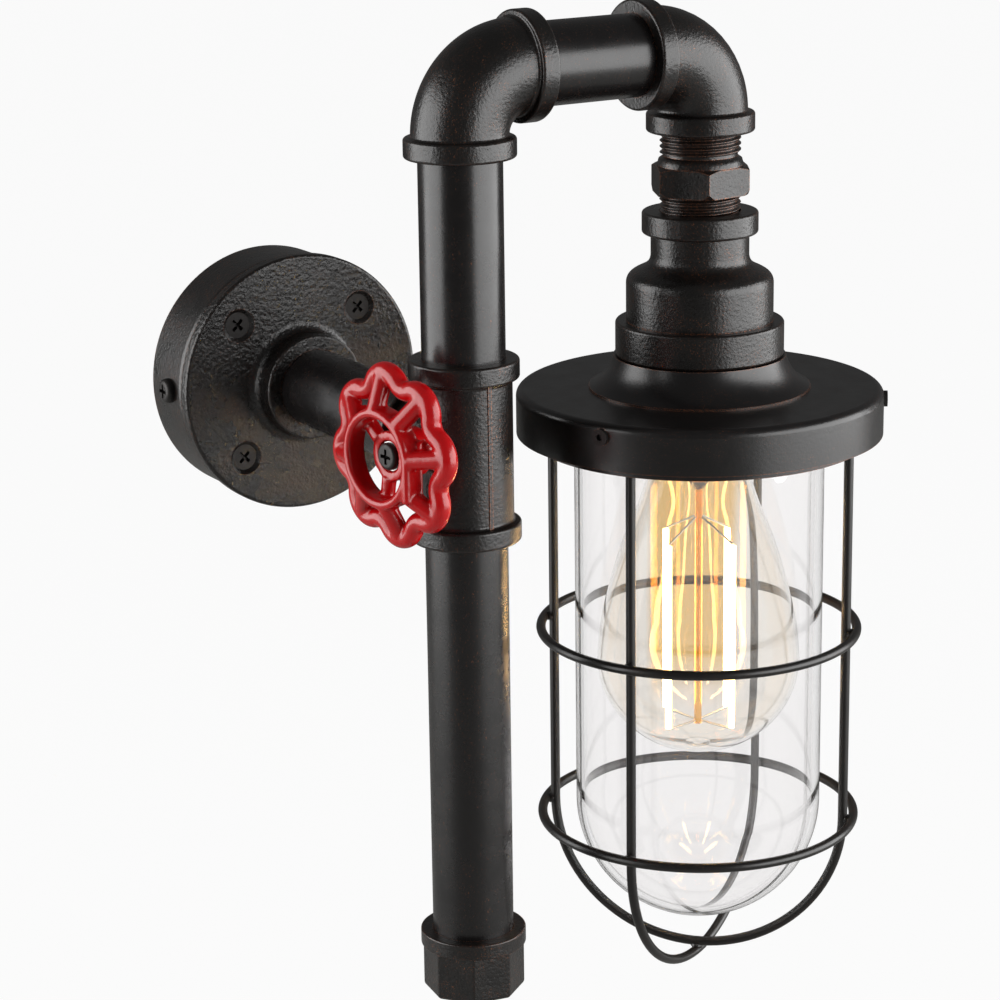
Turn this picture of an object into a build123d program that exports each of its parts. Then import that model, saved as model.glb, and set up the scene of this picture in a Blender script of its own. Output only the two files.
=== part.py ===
from build123d import *
from math import acos, asin, atan2, cos, degrees, pi, radians, sin, sqrt
import os

# Industrial pipe wall light: cast pipe fittings on a round wall box, a caged glass jar with a
# filament bulb, and a cast hand wheel on the side of the tee.
# Origin: centre of the wall plane on the axis of the wall nipple. The wall is the plane Y = 0,
# the light stands out along -Y, the lamp hangs on the +X side, +Z is up. Millimetres.

os.makedirs("parts", exist_ok=True)

# ---- Driving dimensions -------------------------------------------------------------------

# Where the pipework runs
STANDOFF = 130.0          # wall plane to the axis of the upright pipe
ARM_HEIGHT = 112.0        # centre of the tee to the axis of the arm
ARM_REACH = 85.0          # axis of the upright pipe to the axis of the lamp
DROP = 173.5              # centre of the tee to the underside of the end cap

# Pipe and thread
PIPE_OD = 25.0
PIPE_WALL = 2.5
THREAD_PLAY = 0.05        # radial play between a threaded end and its socket
ENGAGEMENT = 11.0         # length of a pipe end inside a fitting

# Cast fittings
FITTING_OD = 28.8         # body of tee and elbows
BRANCH_OD = 28.0          # side branch of the tee
BAND_OD = 33.2            # raised band round each mouth
BAND_WIDTH = 6.0
BAND_ROUND = 0.9
CAST_FILLET = 1.1
TEE_REACH = 27.8          # centre of the tee to each mouth
ELBOW_REACH = 24.7        # corner of an elbow to each mouth
SEAM_WIDTH = 1.2
SEAM_HEIGHT = 0.35

# End cap
CAP_BAND_OD = 32.6
CAP_BAND_WIDTH = 5.0
CAP_ACROSS_CORNERS = 31.4
CAP_ROUND = 0.5
CAP_CORNER_ROUND = 1.0
CAP_FOOT_ROUND = 1.6
CAP_HEIGHT = 20.2
CAP_ENGAGEMENT = 14.0
CAP_TURN = 31.0           # turn of the octagon about the pipe, degrees

# Wall box, bracket and flange
BOX_OD = 81.8
BOX_DEPTH = 23.0
BOX_WALL = 1.5
BOX_ROUND = 4.0
BOX_CABLE_HOLE = 22.0
BRACKET_WIDTH = 24.0
BRACKET_THICKNESS = 2.0
BRACKET_BEND = 1.5        # inside radius of the bent corners
BRACKET_PLAY = 0.3        # bent ears to the inside of the wall box
EAR_LENGTH = 18.0
WALL_SLOT_SPACING = 50.0
WALL_SLOT_LENGTH = 10.0
WALL_SLOT_WIDTH = 5.0
SIDE_SCREW_DEPTH = 12.5   # wall plane to the side screws
FLANGE_OD = 84.0
FLANGE_THICKNESS = 4.0
FLANGE_EDGE = 1.1
COLLAR_OD = 34.2
COLLAR_HEIGHT = 9.0
COLLAR_FLARE = 3.2
FLANGE_SCREW_PCD = 62.0
FLANGE_SCREW_TURN = 46.0
FLANGE_SCREW_COUNT = 4
COUNTERSINK_OD = 11.0

# Screws (M4 throughout, M3 in the lampholder and the terminals)
M4 = 4.0
M3 = 3.0
SCREW_PLAY = 0.25         # radial clearance of a screw in a plain hole
TAP_PLAY = 0.05           # radial play of a screw in its thread
FLUSH_HEAD = 8.4
PAN_HEAD = 8.0
PAN_HEIGHT = 2.6
FLANGE_SCREW_LENGTH = 12.0
SIDE_SCREW_LENGTH = 8.0
NUT_AF = 7.0
NUT_HEIGHT = 3.2
RECESS_WIDTH = 1.1
RECESS_SPAN = 4.6
RECESS_DEPTH = 1.5
HEAD_ROUND = 0.6          # rounding of a pan head as a share of its height

# Terminal block
BLOCK_LENGTH = 30.0
BLOCK_WIDTH = 15.0
BLOCK_HEIGHT = 10.0
BLOCK_ROUND = 1.5
BLOCK_DROP = 3.5          # block centre below the nipple axis
BLOCK_WAYS = 3
BLOCK_PITCH = 9.5
TOWER_OD = 7.0
TOWER_WALL = 1.2
TOWER_HEIGHT = 2.5
TERMINAL_SINK = 3.0       # face of the block to the bottom of the screws
TERMINAL_SCREW = 2.2      # height of a clamping screw
TERMINAL_SLOT = 1.0       # depth of its driver slot
DRIVER_SLOT = 0.8         # width of the driver slots
EARTH_SCREW_RISE = 8.3

# Cable inside the pipes
CABLE_OD = 6.0
CABLE_TEE_BEND = 20.0

# Hex nipple between elbow and reducer
NECK_LENGTH = 6.3         # bare thread under the elbow
NIPPLE_BORE = 17.0
HEX_COLLAR_HEIGHT = 4.0
HEX_COLLAR_OD = 24.4
HEX_AF = 27.6
HEX_HEIGHT = 8.7
HEX_TURN = 25.0
HEX_CORNER_DEPTH = 1.0    # corner chamfer, along the radius
HEX_CORNER_HEIGHT = 1.6   # and along the axis
HEX_COLLAR_TAPER = 15.0
LOWER_NECK = 5.4

# Bell reducer
REDUCER_BAND_OD = 35.8
REDUCER_BAND_WIDTH = 6.9
REDUCER_NECK_OD = 30.3
REDUCER_NECK_LENGTH = 6.5
REDUCER_SHOULDER = 9.1    # height of the S-shaped shoulder
REDUCER_BODY_OD = 45.5
REDUCER_BODY_LENGTH = 11.6
REDUCER_FOOT_OD = 52.2
REDUCER_FOOT_WIDTH = 10.8
REDUCER_WALL = 3.0
FOOT_THREAD_OD = 42.2
FOOT_ENGAGEMENT = 9.8

# Shade cap over the jar
SHADE_WALL = 2.5
SHADE_DISC = 2.7
SHADE_HEIGHT = 14.2       # top of the disc to the lower edge
SHADE_ROUND = 2.5
BOSS_OD = 53.4
BOSS_FLARE_OD = 68.8
BOSS_HEIGHT = 10.3        # top of the disc to the top of the boss
FLARE_EDGE = 0.6
SEAT_WIDTH = 5.3          # rib that presses the gasket
SEAT_DROP = 5.5
CAP_SCREW_COUNT = 3
CAP_SCREW_TURN = 65.7
CAP_SCREW_DROP = 4.0      # top of the disc to the clamping screws
CAP_SCREW_HEAD = 5.0
CAP_SCREW_DIMPLE = 2.0
CAP_SCREW_PROUD = 1.1
CAP_SCREW_SINK = 0.4      # spot face under the head

# Lampholder
HOLDER_OD = 34.4
HOLDER_PLAY = 0.5         # radial clearance in the bore of the shade cap
HOLDER_FLANGE_OD = 48.0
HOLDER_FLANGE = 3.0
HOLDER_ABOVE = 28.0       # flange to the top
HOLDER_BELOW = 5.0        # flange to the lower edge
HOLDER_TOP_WALL = 4.5
HOLDER_EDGE = 2.0
HOLDER_SCREW_RADIUS = 20.6
HOLDER_SCREW_LENGTH = 8.0
HOLDER_SCREW_HEAD = 5.4
HOLDER_SCREW_HEIGHT = 1.8
SHELL_THICKNESS = 0.4
SHELL_PLAY = 0.1          # between the bulb cap and the threaded shell
SHELL_INSET = 1.0         # lower edge of the holder to the shell
CONTACT_THICKNESS = 0.6
CONTACT_LENGTH = 19.0
CONTACT_WIDTH = 7.6

# Jar, gasket and cage
GASKET_THICKNESS = 2.0
GASKET_PLAY = 0.5
JAR_OD = 78.2
JAR_WALL = 2.4
JAR_HEIGHT = 164.6        # top of the rim to the bottom of the dome
JAR_RIM_OD = 90.0
JAR_RIM_HEIGHT = 4.0
LIP_HEIGHT = 2.5
LIP_INSET = 2.0           # edge of the lip inside the upstand's outer face
LIP_BORE_PLAY = 0.5       # radial clearance of the jar in the lip
UPSTAND_PLAY = 0.4        # radial clearance of the cage collar in the shade cap
UPSTAND_WALL = 2.5
UPSTAND_REACH = 6.7       # rim of the jar to the inside of the upstand
LIP_GUSSET = 2.0          # slope between the upstand and the lip
WIRE = 3.0
WELD_GAP = 0.05
HOOP_REACH = 2.0          # rim of the jar to the axis of the hoop's wire
HOOP_BOTTOM = 182.5       # below the tee centre, to the wire's axis
HOOP_AZIMUTHS = (61.0, 135.0)
RING_HEIGHTS = (-70.5, -133.0)
SCREW_TIP_GAP = 0.2

# Bulb
BULB_CAP_OD = 26.2
BULB_CAP_SKIN = 0.3
BULB_CAP_LENGTH = 22.0
BULB_CAP_SHOULDER = 2.0
BULB_TIP_HEIGHT = 5.1
BULB_TIP_OD = 9.5
BULB_TIP_THICKNESS = 1.6
BULB_TIP_ROUND = 0.8
INSULATOR_TAPER = 35.0
BULB_LENGTH = 141.0
BULB_MAX_OD = 64.4
BULB_MAX_HEIGHT = 31.0    # lowest point of the round end to the widest section
BULB_NECK_OD = 25.0
BULB_NECK_DEPTH = 6.0     # neck inside the cap
BULB_SHAPE = ((0.34, 0.56), (0.68, 0.86))    # shares of the height and of the radius on the way down
BULB_GLASS = 0.8
PIP_OD = 6.0
PIP_LENGTH = 2.2
FILAMENT_OD = 2.0
FILAMENT_LENGTH = 60.0
FILAMENT_TOP = 42.0       # below the bulb cap
FILAMENT_RADIUS = 14.0
FILAMENT_TURN = 76.3
STEM_OD = 9.0
STEM_LENGTH = 26.0
STEM_SHOULDER = 4.0       # length of the flare and of the drawn end
STEM_ROD = 2.4
ROD_OVERRUN = 2.0         # rod below the filaments
SUPPORT_WIRE = 0.7
SUPPORT_GAP = 0.25        # wire ends to the skin of the rod
SUPPORT_RISE = 7.0        # rod ends of the upper wires above the filaments

# Hand wheel on the side of the tee
WHEEL_TURN = 9.0          # spindle axis, from -X towards -Y
WHEEL_RISE = 2.9          # above the centre of the tee
BOSS_REACH = 16.0         # upright axis to the face of the spindle boss
SPINDLE_BOSS_OD = 15.0
SPINDLE_THREAD = 6.0
SPINDLE_SHOULDER_OD = 12.0
SPINDLE_SHOULDER = 2.0
JOURNAL_OD = 7.0
JOURNAL_LENGTH = 9.5
RUNNING_PLAY = 0.05
WHEEL_END_PLAY = 0.3
HUB_OD = 15.0
HUB_LENGTH = 10.8
WASHER_OD = 8.8
WASHER_THICKNESS = 0.8
WHEEL_SCREW_HEAD = 8.2
WHEEL_SCREW_HEIGHT = 1.9
WHEEL_SCREW_LENGTH = 8.5
HUB_RECESS_PLAY = 0.3
INNER_RING_OD = 30.0
INNER_RING_WALL = 2.8
INNER_RING_FRONT = 5.6    # ahead of the hub's face
INNER_RING_BACK = 1.3     # behind the hub's face
INNER_RING_ROUND = 1.2
WEB_COUNT = 3
WEB_TURN = 20.0
WEB_OD = 4.4
WEB_REACH = 18.0
WEB_SINK = 1.2            # web axis behind the hub's face
LOBES = 8
LOBE_START = 8.0
LOBE_PEAK = 24.8
LOBE_VALLEY = 21.1
LOBE_ROUND = 6.5
RIM_OD = 6.0
RIM_SINK = 2.2            # rim plane behind the hub's face
SPOKE_OD = 5.6

# ---- Sizes worked out from the driving dimensions -------------------------------------------

PIPE_R = PIPE_OD / 2
BORE_R = PIPE_R - PIPE_WALL
SOCKET_R = PIPE_R + THREAD_PLAY
ELBOW_BEND = ELBOW_REACH - BAND_WIDTH
FLANGE_FACE = BOX_DEPTH + FLANGE_THICKNESS
COLLAR_FACE = FLANGE_FACE + COLLAR_HEIGHT
TEE_BACK = STANDOFF - TEE_REACH
HEX_CORNER_R = HEX_AF / 2 / cos(radians(30))

# Round the rim of the jar
SEAT_OD = JAR_RIM_OD + 2 * GASKET_PLAY
SEAT_ID = SEAT_OD - 2 * SEAT_WIDTH
UPSTAND_OD = JAR_RIM_OD + 2 * (UPSTAND_REACH + UPSTAND_WALL)
LIP_OD = UPSTAND_OD - 2 * LIP_INSET
SHADE_OD = UPSTAND_OD + 2 * (UPSTAND_PLAY + SHADE_WALL)
HOOP_RADIUS = JAR_RIM_OD / 2 + HOOP_REACH

# Levels down the lamp's axis
ELBOW_END = ARM_HEIGHT - ELBOW_REACH
HEX_COLLAR_TOP = ELBOW_END - NECK_LENGTH
HEX_TOP = HEX_COLLAR_TOP - HEX_COLLAR_HEIGHT
HEX_BOTTOM = HEX_TOP - HEX_HEIGHT
REDUCER_TOP = HEX_BOTTOM - LOWER_NECK
REDUCER_NECK_TOP = REDUCER_TOP - REDUCER_BAND_WIDTH
SHOULDER_TOP = REDUCER_NECK_TOP - REDUCER_NECK_LENGTH
SHOULDER_BOTTOM = SHOULDER_TOP - REDUCER_SHOULDER
FOOT_TOP = SHOULDER_BOTTOM - REDUCER_BODY_LENGTH
FOOT_BOTTOM = FOOT_TOP - REDUCER_FOOT_WIDTH
DISC_TOP = FOOT_BOTTOM - BOSS_HEIGHT
CEILING = DISC_TOP - SHADE_DISC
SHADE_BOTTOM = DISC_TOP - SHADE_HEIGHT
SEAT_LEVEL = CEILING - SEAT_DROP
GASKET_BOTTOM = SEAT_LEVEL - GASKET_THICKNESS
JAR_RIM_BOTTOM = GASKET_BOTTOM - JAR_RIM_HEIGHT
LIP_TOP = JAR_RIM_BOTTOM
LIP_BOTTOM = LIP_TOP - LIP_HEIGHT
HOLDER_FLANGE_BOTTOM = CEILING - HOLDER_FLANGE
HOLDER_TOP = CEILING + HOLDER_ABOVE
HOLDER_BOTTOM = HOLDER_FLANGE_BOTTOM - HOLDER_BELOW
CAVITY_TOP = HOLDER_TOP - HOLDER_TOP_WALL
BULB_TIP = CAVITY_TOP - CONTACT_THICKNESS - 2 * SHELL_PLAY
BULB_CAP_TOP = BULB_TIP - BULB_TIP_HEIGHT
BULB_CAP_BOTTOM = BULB_CAP_TOP - BULB_CAP_LENGTH
BULB_BOTTOM = BULB_TIP - BULB_LENGTH

CAP_BOTTOM = -DROP
CAP_TOP = CAP_BOTTOM + CAP_HEIGHT

LAMP_AXIS = Axis((ARM_REACH, -STANDOFF, 0), (0, 0, 1))


# ---- Helpers --------------------------------------------------------------------------------

def level(height):
    """Horizontal plane on the lamp's axis at a height."""
    return Plane(origin=(ARM_REACH, -STANDOFF, height))


def wall_plane(distance):
    """Plane parallel to the wall, centred on the nipple, facing the room."""
    return Plane.XZ.offset(distance)


def mouth(x, y, z, direction):
    """Plane in the mouth of a fitting, facing out of it."""
    return Plane(origin=(x, y, z), z_dir=direction)


def lamp_section():
    """Upright plane through the lamp's axis, its local x is the radius, its local y the height."""
    return Plane(origin=(ARM_REACH, -STANDOFF, 0), x_dir=(1, 0, 0), z_dir=(0, -1, 0))


def azimuth(turn, radius, height=0.0):
    """Point round the lamp's axis; turn counts from the room side (-Y) towards -X."""
    swing = radians(turn)
    return (ARM_REACH - radius * sin(swing), -STANDOFF - radius * cos(swing), height)


def round_bar(start, end, diameter):
    """Add a straight round bar between two points to the part being built."""
    run = Vector(*end) - Vector(*start)
    with BuildSketch(Plane(origin=start, z_dir=run)) as section:
        Circle(diameter / 2)
    extrude(section.sketch, amount=run.length)


def disc(face, diameter, amount, mode=Mode.ADD):
    """Add or cut a round boss or hole that runs from a plane along its normal."""
    with BuildSketch(face) as section:
        Circle(diameter / 2)
    extrude(section.sketch, amount=amount, mode=mode)


def circles(diameter):
    """Circular edges of one diameter in the part being built."""
    return edges().filter_by(GeomType.CIRCLE).filter_by(lambda edge: abs(2 * edge.radius - diameter) < 0.01)


def add_bands(mouths):
    """Raised band behind each mouth of a cast fitting, with its edges rounded."""
    for face in mouths:
        disc(face, BAND_OD, -BAND_WIDTH)
    fillet(circles(BAND_OD), BAND_ROUND)
    fillet(circles(FITTING_OD), CAST_FILLET)


def cut_sockets(mouths):
    """Threaded socket behind each mouth."""
    for face in mouths:
        disc(face, 2 * SOCKET_R, -ENGAGEMENT, Mode.SUBTRACT)


def pipe_ring():
    """Section of the pipe."""
    Circle(PIPE_R)
    Circle(BORE_R, mode=Mode.SUBTRACT)


def cross_recess(face):
    """Cross-shaped driver recess in a screw head, tapering to its bottom."""
    with BuildSketch(face) as cross:
        Rectangle(RECESS_SPAN, RECESS_WIDTH)
        Rectangle(RECESS_WIDTH, RECESS_SPAN)
    extrude(cross.sketch, amount=-RECESS_DEPTH, taper=8, mode=Mode.SUBTRACT)


def flush_screw(face, diameter, head, length):
    """Countersunk screw: the flat of its head lies in the plane, the shank runs behind it."""
    with BuildSketch(face) as top:
        Circle(head / 2)
    extrude(top.sketch, amount=-(head - diameter) / 2, taper=45)
    disc(face, diameter, -length)
    cross_recess(face)


def pan_screw(face, diameter, head, height, length):
    """Pan-head screw: the head stands on the plane, the shank runs behind it."""
    disc(face, head, height)
    fillet(circles(head).sort_by(Axis(face.origin, face.z_dir))[-1], height * HEAD_ROUND)
    disc(face, diameter, -length)
    cross_recess(face.offset(height))


# ---- Wall group -----------------------------------------------------------------------------

box_inner_r = BOX_OD / 2 - BOX_WALL
ear_face = sqrt(box_inner_r ** 2 - (BRACKET_WIDTH / 2) ** 2) - BRACKET_PLAY
box_front_inside = BOX_DEPTH - BOX_WALL
side_faces = [Plane(origin=(side * BOX_OD / 2, -SIDE_SCREW_DEPTH, 0), z_dir=(side, 0, 0)) for side in (-1, 1)]
flange_spots = PolarLocations(
    FLANGE_SCREW_PCD / 2, FLANGE_SCREW_COUNT, start_angle=FLANGE_SCREW_TURN).local_locations

# Steel strip that is screwed to the wall, with two ears bent forward for the side screws
with BuildPart() as mounting_bracket:
    with BuildSketch(Plane.XY.offset(-BRACKET_WIDTH / 2)) as strip:
        with Locations((0, -EAR_LENGTH / 2)):
            Rectangle(2 * ear_face, EAR_LENGTH)
        fillet(strip.vertices().group_by(Axis.Y)[-1], BRACKET_BEND + BRACKET_THICKNESS)
        with BuildSketch(mode=Mode.PRIVATE) as hollow:
            with Locations((0, -EAR_LENGTH / 2 - BRACKET_THICKNESS)):
                Rectangle(2 * (ear_face - BRACKET_THICKNESS), EAR_LENGTH)
            fillet(hollow.vertices().group_by(Axis.Y)[-1], BRACKET_BEND)
        add(hollow.sketch, mode=Mode.SUBTRACT)
    extrude(amount=BRACKET_WIDTH)
    with BuildSketch(wall_plane(0)):
        with GridLocations(WALL_SLOT_SPACING, 0, 2, 1):
            SlotOverall(WALL_SLOT_LENGTH, WALL_SLOT_WIDTH)
        with Locations((0, EARTH_SCREW_RISE)):
            Circle(M4 / 2 + TAP_PLAY)
    extrude(amount=BRACKET_THICKNESS, mode=Mode.SUBTRACT)
    for face in side_faces:
        with BuildSketch(face):
            Circle(M4 / 2 + TAP_PLAY)
        extrude(amount=-BOX_OD / 4, mode=Mode.SUBTRACT)
mounting_bracket.part.label = "mounting_bracket"
export_step(mounting_bracket.part, "parts/mounting_bracket.step")

# Earth screw in the strip
with BuildPart() as earth_screw:
    earth_face = Plane(origin=(0, -BRACKET_THICKNESS, EARTH_SCREW_RISE), z_dir=(0, -1, 0))
    pan_screw(earth_face, M4, NUT_AF, PAN_HEIGHT, BRACKET_THICKNESS)
earth_screw.part.label = "earth_screw"
export_step(earth_screw.part, "parts/earth_screw.step")

# Terminal block: three towers with a screw each, wires enter from above and below
block_face = wall_plane(BRACKET_THICKNESS + BLOCK_HEIGHT)
tower_bore_r = TOWER_OD / 2 - TOWER_WALL
tower_level = -BLOCK_DROP - BLOCK_WIDTH / 2 + TOWER_OD / 2
tower_spots = [((way - (BLOCK_WAYS - 1) / 2) * BLOCK_PITCH, tower_level) for way in range(BLOCK_WAYS)]
with BuildPart() as terminal_block:
    with BuildSketch(wall_plane(BRACKET_THICKNESS)) as block_outline:
        with Locations((0, -BLOCK_DROP)):
            RectangleRounded(BLOCK_LENGTH, BLOCK_WIDTH, BLOCK_ROUND)
    extrude(amount=BLOCK_HEIGHT)
    with BuildSketch(block_face):
        with Locations(*tower_spots):
            Circle(TOWER_OD / 2)
    extrude(amount=TOWER_HEIGHT)
    with BuildSketch(block_face.offset(TOWER_HEIGHT)):
        with Locations(*tower_spots):
            Circle(tower_bore_r)
    extrude(amount=-TOWER_HEIGHT - TERMINAL_SINK, mode=Mode.SUBTRACT)
terminal_block.part.label = "terminal_block"
export_step(terminal_block.part, "parts/terminal_block.step")

# Clamping screws at the bottom of the three towers
with BuildPart() as terminal_screws:
    with BuildSketch(block_face.offset(-TERMINAL_SINK)):
        with Locations(*tower_spots):
            Circle(tower_bore_r - TAP_PLAY)
    extrude(amount=TERMINAL_SCREW)
    with BuildSketch(block_face.offset(TERMINAL_SCREW - TERMINAL_SINK)):
        with Locations(*tower_spots):
            Rectangle(TOWER_OD, DRIVER_SLOT)
    extrude(amount=-TERMINAL_SLOT, mode=Mode.SUBTRACT)
terminal_screws.part.label = "terminal_screws"
export_step(terminal_screws.part, "parts/terminal_screws.step")

# Pressed steel box, open towards the wall
with BuildPart() as wall_box:
    with BuildSketch(wall_plane(0)):
        Circle(BOX_OD / 2)
    extrude(amount=BOX_DEPTH)
    fillet(edges().group_by(Axis.Y)[0], BOX_ROUND)
    offset(amount=-BOX_WALL, openings=faces().sort_by(Axis.Y)[-1])
    with BuildSketch(wall_plane(BOX_DEPTH)):
        Circle(BOX_CABLE_HOLE / 2)
        with Locations(*flange_spots):
            Circle(M4 / 2 + SCREW_PLAY)
    extrude(amount=-BOX_DEPTH, mode=Mode.SUBTRACT)
    for face in side_faces:
        with BuildSketch(face):
            Circle(M4 / 2 + SCREW_PLAY)
        extrude(amount=-BOX_OD / 4, mode=Mode.SUBTRACT)
wall_box.part.label = "wall_box"
export_step(wall_box.part, "parts/wall_box.step")

# Pan-head screws through the sides of the box into the bracket's ears
with BuildPart() as box_screws:
    for face in side_faces:
        pan_screw(face, M4, PAN_HEAD, PAN_HEIGHT, SIDE_SCREW_LENGTH)
box_screws.part.label = "box_screws"
export_step(box_screws.part, "parts/box_screws.step")

# Cast flange with a collar for the nipple
with BuildPart() as wall_flange:
    with BuildSketch(wall_plane(BOX_DEPTH)):
        Circle(FLANGE_OD / 2)
    extrude(amount=FLANGE_THICKNESS)
    fillet(edges().group_by(Axis.Y)[0], FLANGE_EDGE)
    with BuildSketch(wall_plane(FLANGE_FACE)):
        Circle(COLLAR_OD / 2)
    extrude(amount=COLLAR_HEIGHT)
    fillet(circles(COLLAR_OD).sort_by(Axis.Y)[-1], COLLAR_FLARE)
    fillet(circles(COLLAR_OD).sort_by(Axis.Y)[0], BAND_ROUND)
    with BuildSketch(wall_plane(COLLAR_FACE)):
        Circle(SOCKET_R)
    extrude(amount=-ENGAGEMENT, mode=Mode.SUBTRACT)
    with BuildSketch(wall_plane(COLLAR_FACE)):
        Circle(BORE_R)
    extrude(amount=-COLLAR_FACE, mode=Mode.SUBTRACT)
    with Locations(wall_plane(FLANGE_FACE)):
        with Locations(*flange_spots):
            CounterSinkHole(M4 / 2 + SCREW_PLAY, COUNTERSINK_OD / 2, counter_sink_angle=90)
wall_flange.part.label = "wall_flange"
export_step(wall_flange.part, "parts/wall_flange.step")

# Countersunk screws and their nuts
flush_sink = (COUNTERSINK_OD - FLUSH_HEAD) / 2 - TAP_PLAY
screw_face = wall_plane(FLANGE_FACE - flush_sink)
with BuildPart() as flange_screws:
    for spot in flange_spots:
        flush_screw(Plane(screw_face.location * spot), M4, FLUSH_HEAD, FLANGE_SCREW_LENGTH)
flange_screws.part.label = "flange_screws"
export_step(flange_screws.part, "parts/flange_screws.step")

with BuildPart() as flange_nuts:
    with BuildSketch(wall_plane(box_front_inside)):
        with Locations(*flange_spots):
            RegularPolygon(NUT_AF / 2, 6, major_radius=False)
            Circle(M4 / 2 + TAP_PLAY, mode=Mode.SUBTRACT)
    extrude(amount=-NUT_HEIGHT)
flange_nuts.part.label = "flange_nuts"
export_step(flange_nuts.part, "parts/flange_nuts.step")

# ---- Pipework -------------------------------------------------------------------------------

# Pipe from the flange to the tee
nipple_start = COLLAR_FACE - ENGAGEMENT
with BuildPart() as wall_nipple:
    with BuildSketch(wall_plane(nipple_start)):
        pipe_ring()
    extrude(amount=TEE_BACK + ENGAGEMENT - nipple_start)
wall_nipple.part.label = "wall_nipple"
export_step(wall_nipple.part, "parts/wall_nipple.step")

# Hand wheel spindle axis: local z points away from the tee, its origin is on the upright axis
wheel_swing = radians(WHEEL_TURN)
wheel_out = Vector(-cos(wheel_swing), -sin(wheel_swing), 0)
wheel_origin = Vector(0, -STANDOFF, WHEEL_RISE)


def wheel_plane(distance):
    """Plane across the spindle at a distance from the upright axis, local y is up."""
    return Plane(origin=wheel_origin + wheel_out * distance,
                 x_dir=wheel_out.cross(Vector(0, 0, 1)) * -1, z_dir=wheel_out)


# Cast tee: straight run up and down, branch to the wall, drilled boss for the spindle
tee_mouths = [
    mouth(0, -STANDOFF, TEE_REACH, (0, 0, 1)),
    mouth(0, -STANDOFF, -TEE_REACH, (0, 0, -1)),
    mouth(0, -TEE_BACK, 0, (0, 1, 0)),
]
with BuildPart() as tee:
    with BuildSketch(Plane(origin=(0, -STANDOFF, -TEE_REACH))):
        Circle(FITTING_OD / 2)
    extrude(amount=2 * TEE_REACH)
    with BuildSketch(mouth(0, -STANDOFF, 0, (0, 1, 0))):
        Circle(BRANCH_OD / 2)
    extrude(amount=TEE_REACH)
    add_bands(tee_mouths)
    with BuildSketch(wall_plane(STANDOFF + BORE_R + PIPE_WALL)):
        Rectangle(SEAM_WIDTH, 2 * (TEE_REACH - BAND_WIDTH))
    extrude(amount=FITTING_OD / 2 - BORE_R - PIPE_WALL + SEAM_HEIGHT)
    with BuildSketch(wheel_plane(BOSS_REACH)):
        Circle(SPINDLE_BOSS_OD / 2)
    extrude(amount=-BOSS_REACH + BORE_R)
    cut_sockets(tee_mouths)
    for face in tee_mouths:
        with BuildSketch(face):
            Circle(BORE_R)
        extrude(amount=-TEE_REACH, mode=Mode.SUBTRACT)
    with BuildSketch(wheel_plane(BOSS_REACH)):
        Circle(SPINDLE_THREAD / 2 + TAP_PLAY)
    extrude(amount=-BOSS_REACH, mode=Mode.SUBTRACT)
tee.part.label = "tee"
export_step(tee.part, "parts/tee.step")

# Upright pipes above and below the tee
with BuildPart() as upper_pipe:
    with BuildSketch(Plane(origin=(0, -STANDOFF, TEE_REACH - ENGAGEMENT))):
        pipe_ring()
    extrude(amount=ELBOW_END + 2 * ENGAGEMENT - TEE_REACH)
upper_pipe.part.label = "upper_pipe"
export_step(upper_pipe.part, "parts/upper_pipe.step")

lower_pipe_end = CAP_TOP - CAP_ENGAGEMENT
with BuildPart() as lower_pipe:
    with BuildSketch(Plane(origin=(0, -STANDOFF, lower_pipe_end))):
        pipe_ring()
    extrude(amount=ENGAGEMENT - TEE_REACH - lower_pipe_end)
lower_pipe.part.label = "lower_pipe"
export_step(lower_pipe.part, "parts/lower_pipe.step")

# Octagonal cap under the lower pipe
with BuildPart() as end_cap:
    with BuildSketch(Plane(origin=(0, -STANDOFF, CAP_BOTTOM))):
        RegularPolygon(CAP_ACROSS_CORNERS / 2, 8, rotation=-90 - CAP_TURN)
    extrude(amount=CAP_HEIGHT)
    fillet(edges().filter_by(Axis.Z), CAP_CORNER_ROUND)
    fillet(edges().group_by(Axis.Z)[0], CAP_FOOT_ROUND)
    with BuildSketch(Plane(origin=(0, -STANDOFF, CAP_TOP))):
        Circle(CAP_BAND_OD / 2)
    extrude(amount=-CAP_BAND_WIDTH)
    fillet(circles(CAP_BAND_OD), CAP_ROUND)
    with BuildSketch(Plane(origin=(0, -STANDOFF, CAP_TOP))):
        Circle(SOCKET_R)
    extrude(amount=-CAP_ENGAGEMENT, mode=Mode.SUBTRACT)
end_cap.part.label = "end_cap"
export_step(end_cap.part, "parts/end_cap.step")

# Two elbows and the arm between them
for label, corner_x, side in (("elbow_left", 0.0, 1), ("elbow_right", ARM_REACH, -1)):
    elbow_mouths = [
        mouth(corner_x, -STANDOFF, ELBOW_END, (0, 0, -1)),
        mouth(corner_x + side * ELBOW_REACH, -STANDOFF, ARM_HEIGHT, (side, 0, 0)),
    ]
    with BuildPart() as elbow:
        with BuildLine() as bend:
            FilletPolyline(
                elbow_mouths[0].origin, (corner_x, -STANDOFF, ARM_HEIGHT), elbow_mouths[1].origin,
                radius=ELBOW_BEND)
        with BuildSketch(elbow_mouths[0]):
            Circle(FITTING_OD / 2)
        sweep(path=bend.wire())
        add_bands(elbow_mouths)
        with BuildSketch(elbow_mouths[0]):
            Circle(BORE_R)
        sweep(path=bend.wire(), mode=Mode.SUBTRACT)
        cut_sockets(elbow_mouths)
    elbow.part.label = label
    export_step(elbow.part, f"parts/{label}.step")

with BuildPart() as arm_pipe:
    with BuildSketch(mouth(ELBOW_REACH - ENGAGEMENT, -STANDOFF, ARM_HEIGHT, (1, 0, 0))):
        pipe_ring()
    extrude(amount=ARM_REACH - 2 * (ELBOW_REACH - ENGAGEMENT))
arm_pipe.part.label = "arm_pipe"
export_step(arm_pipe.part, "parts/arm_pipe.step")

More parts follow.
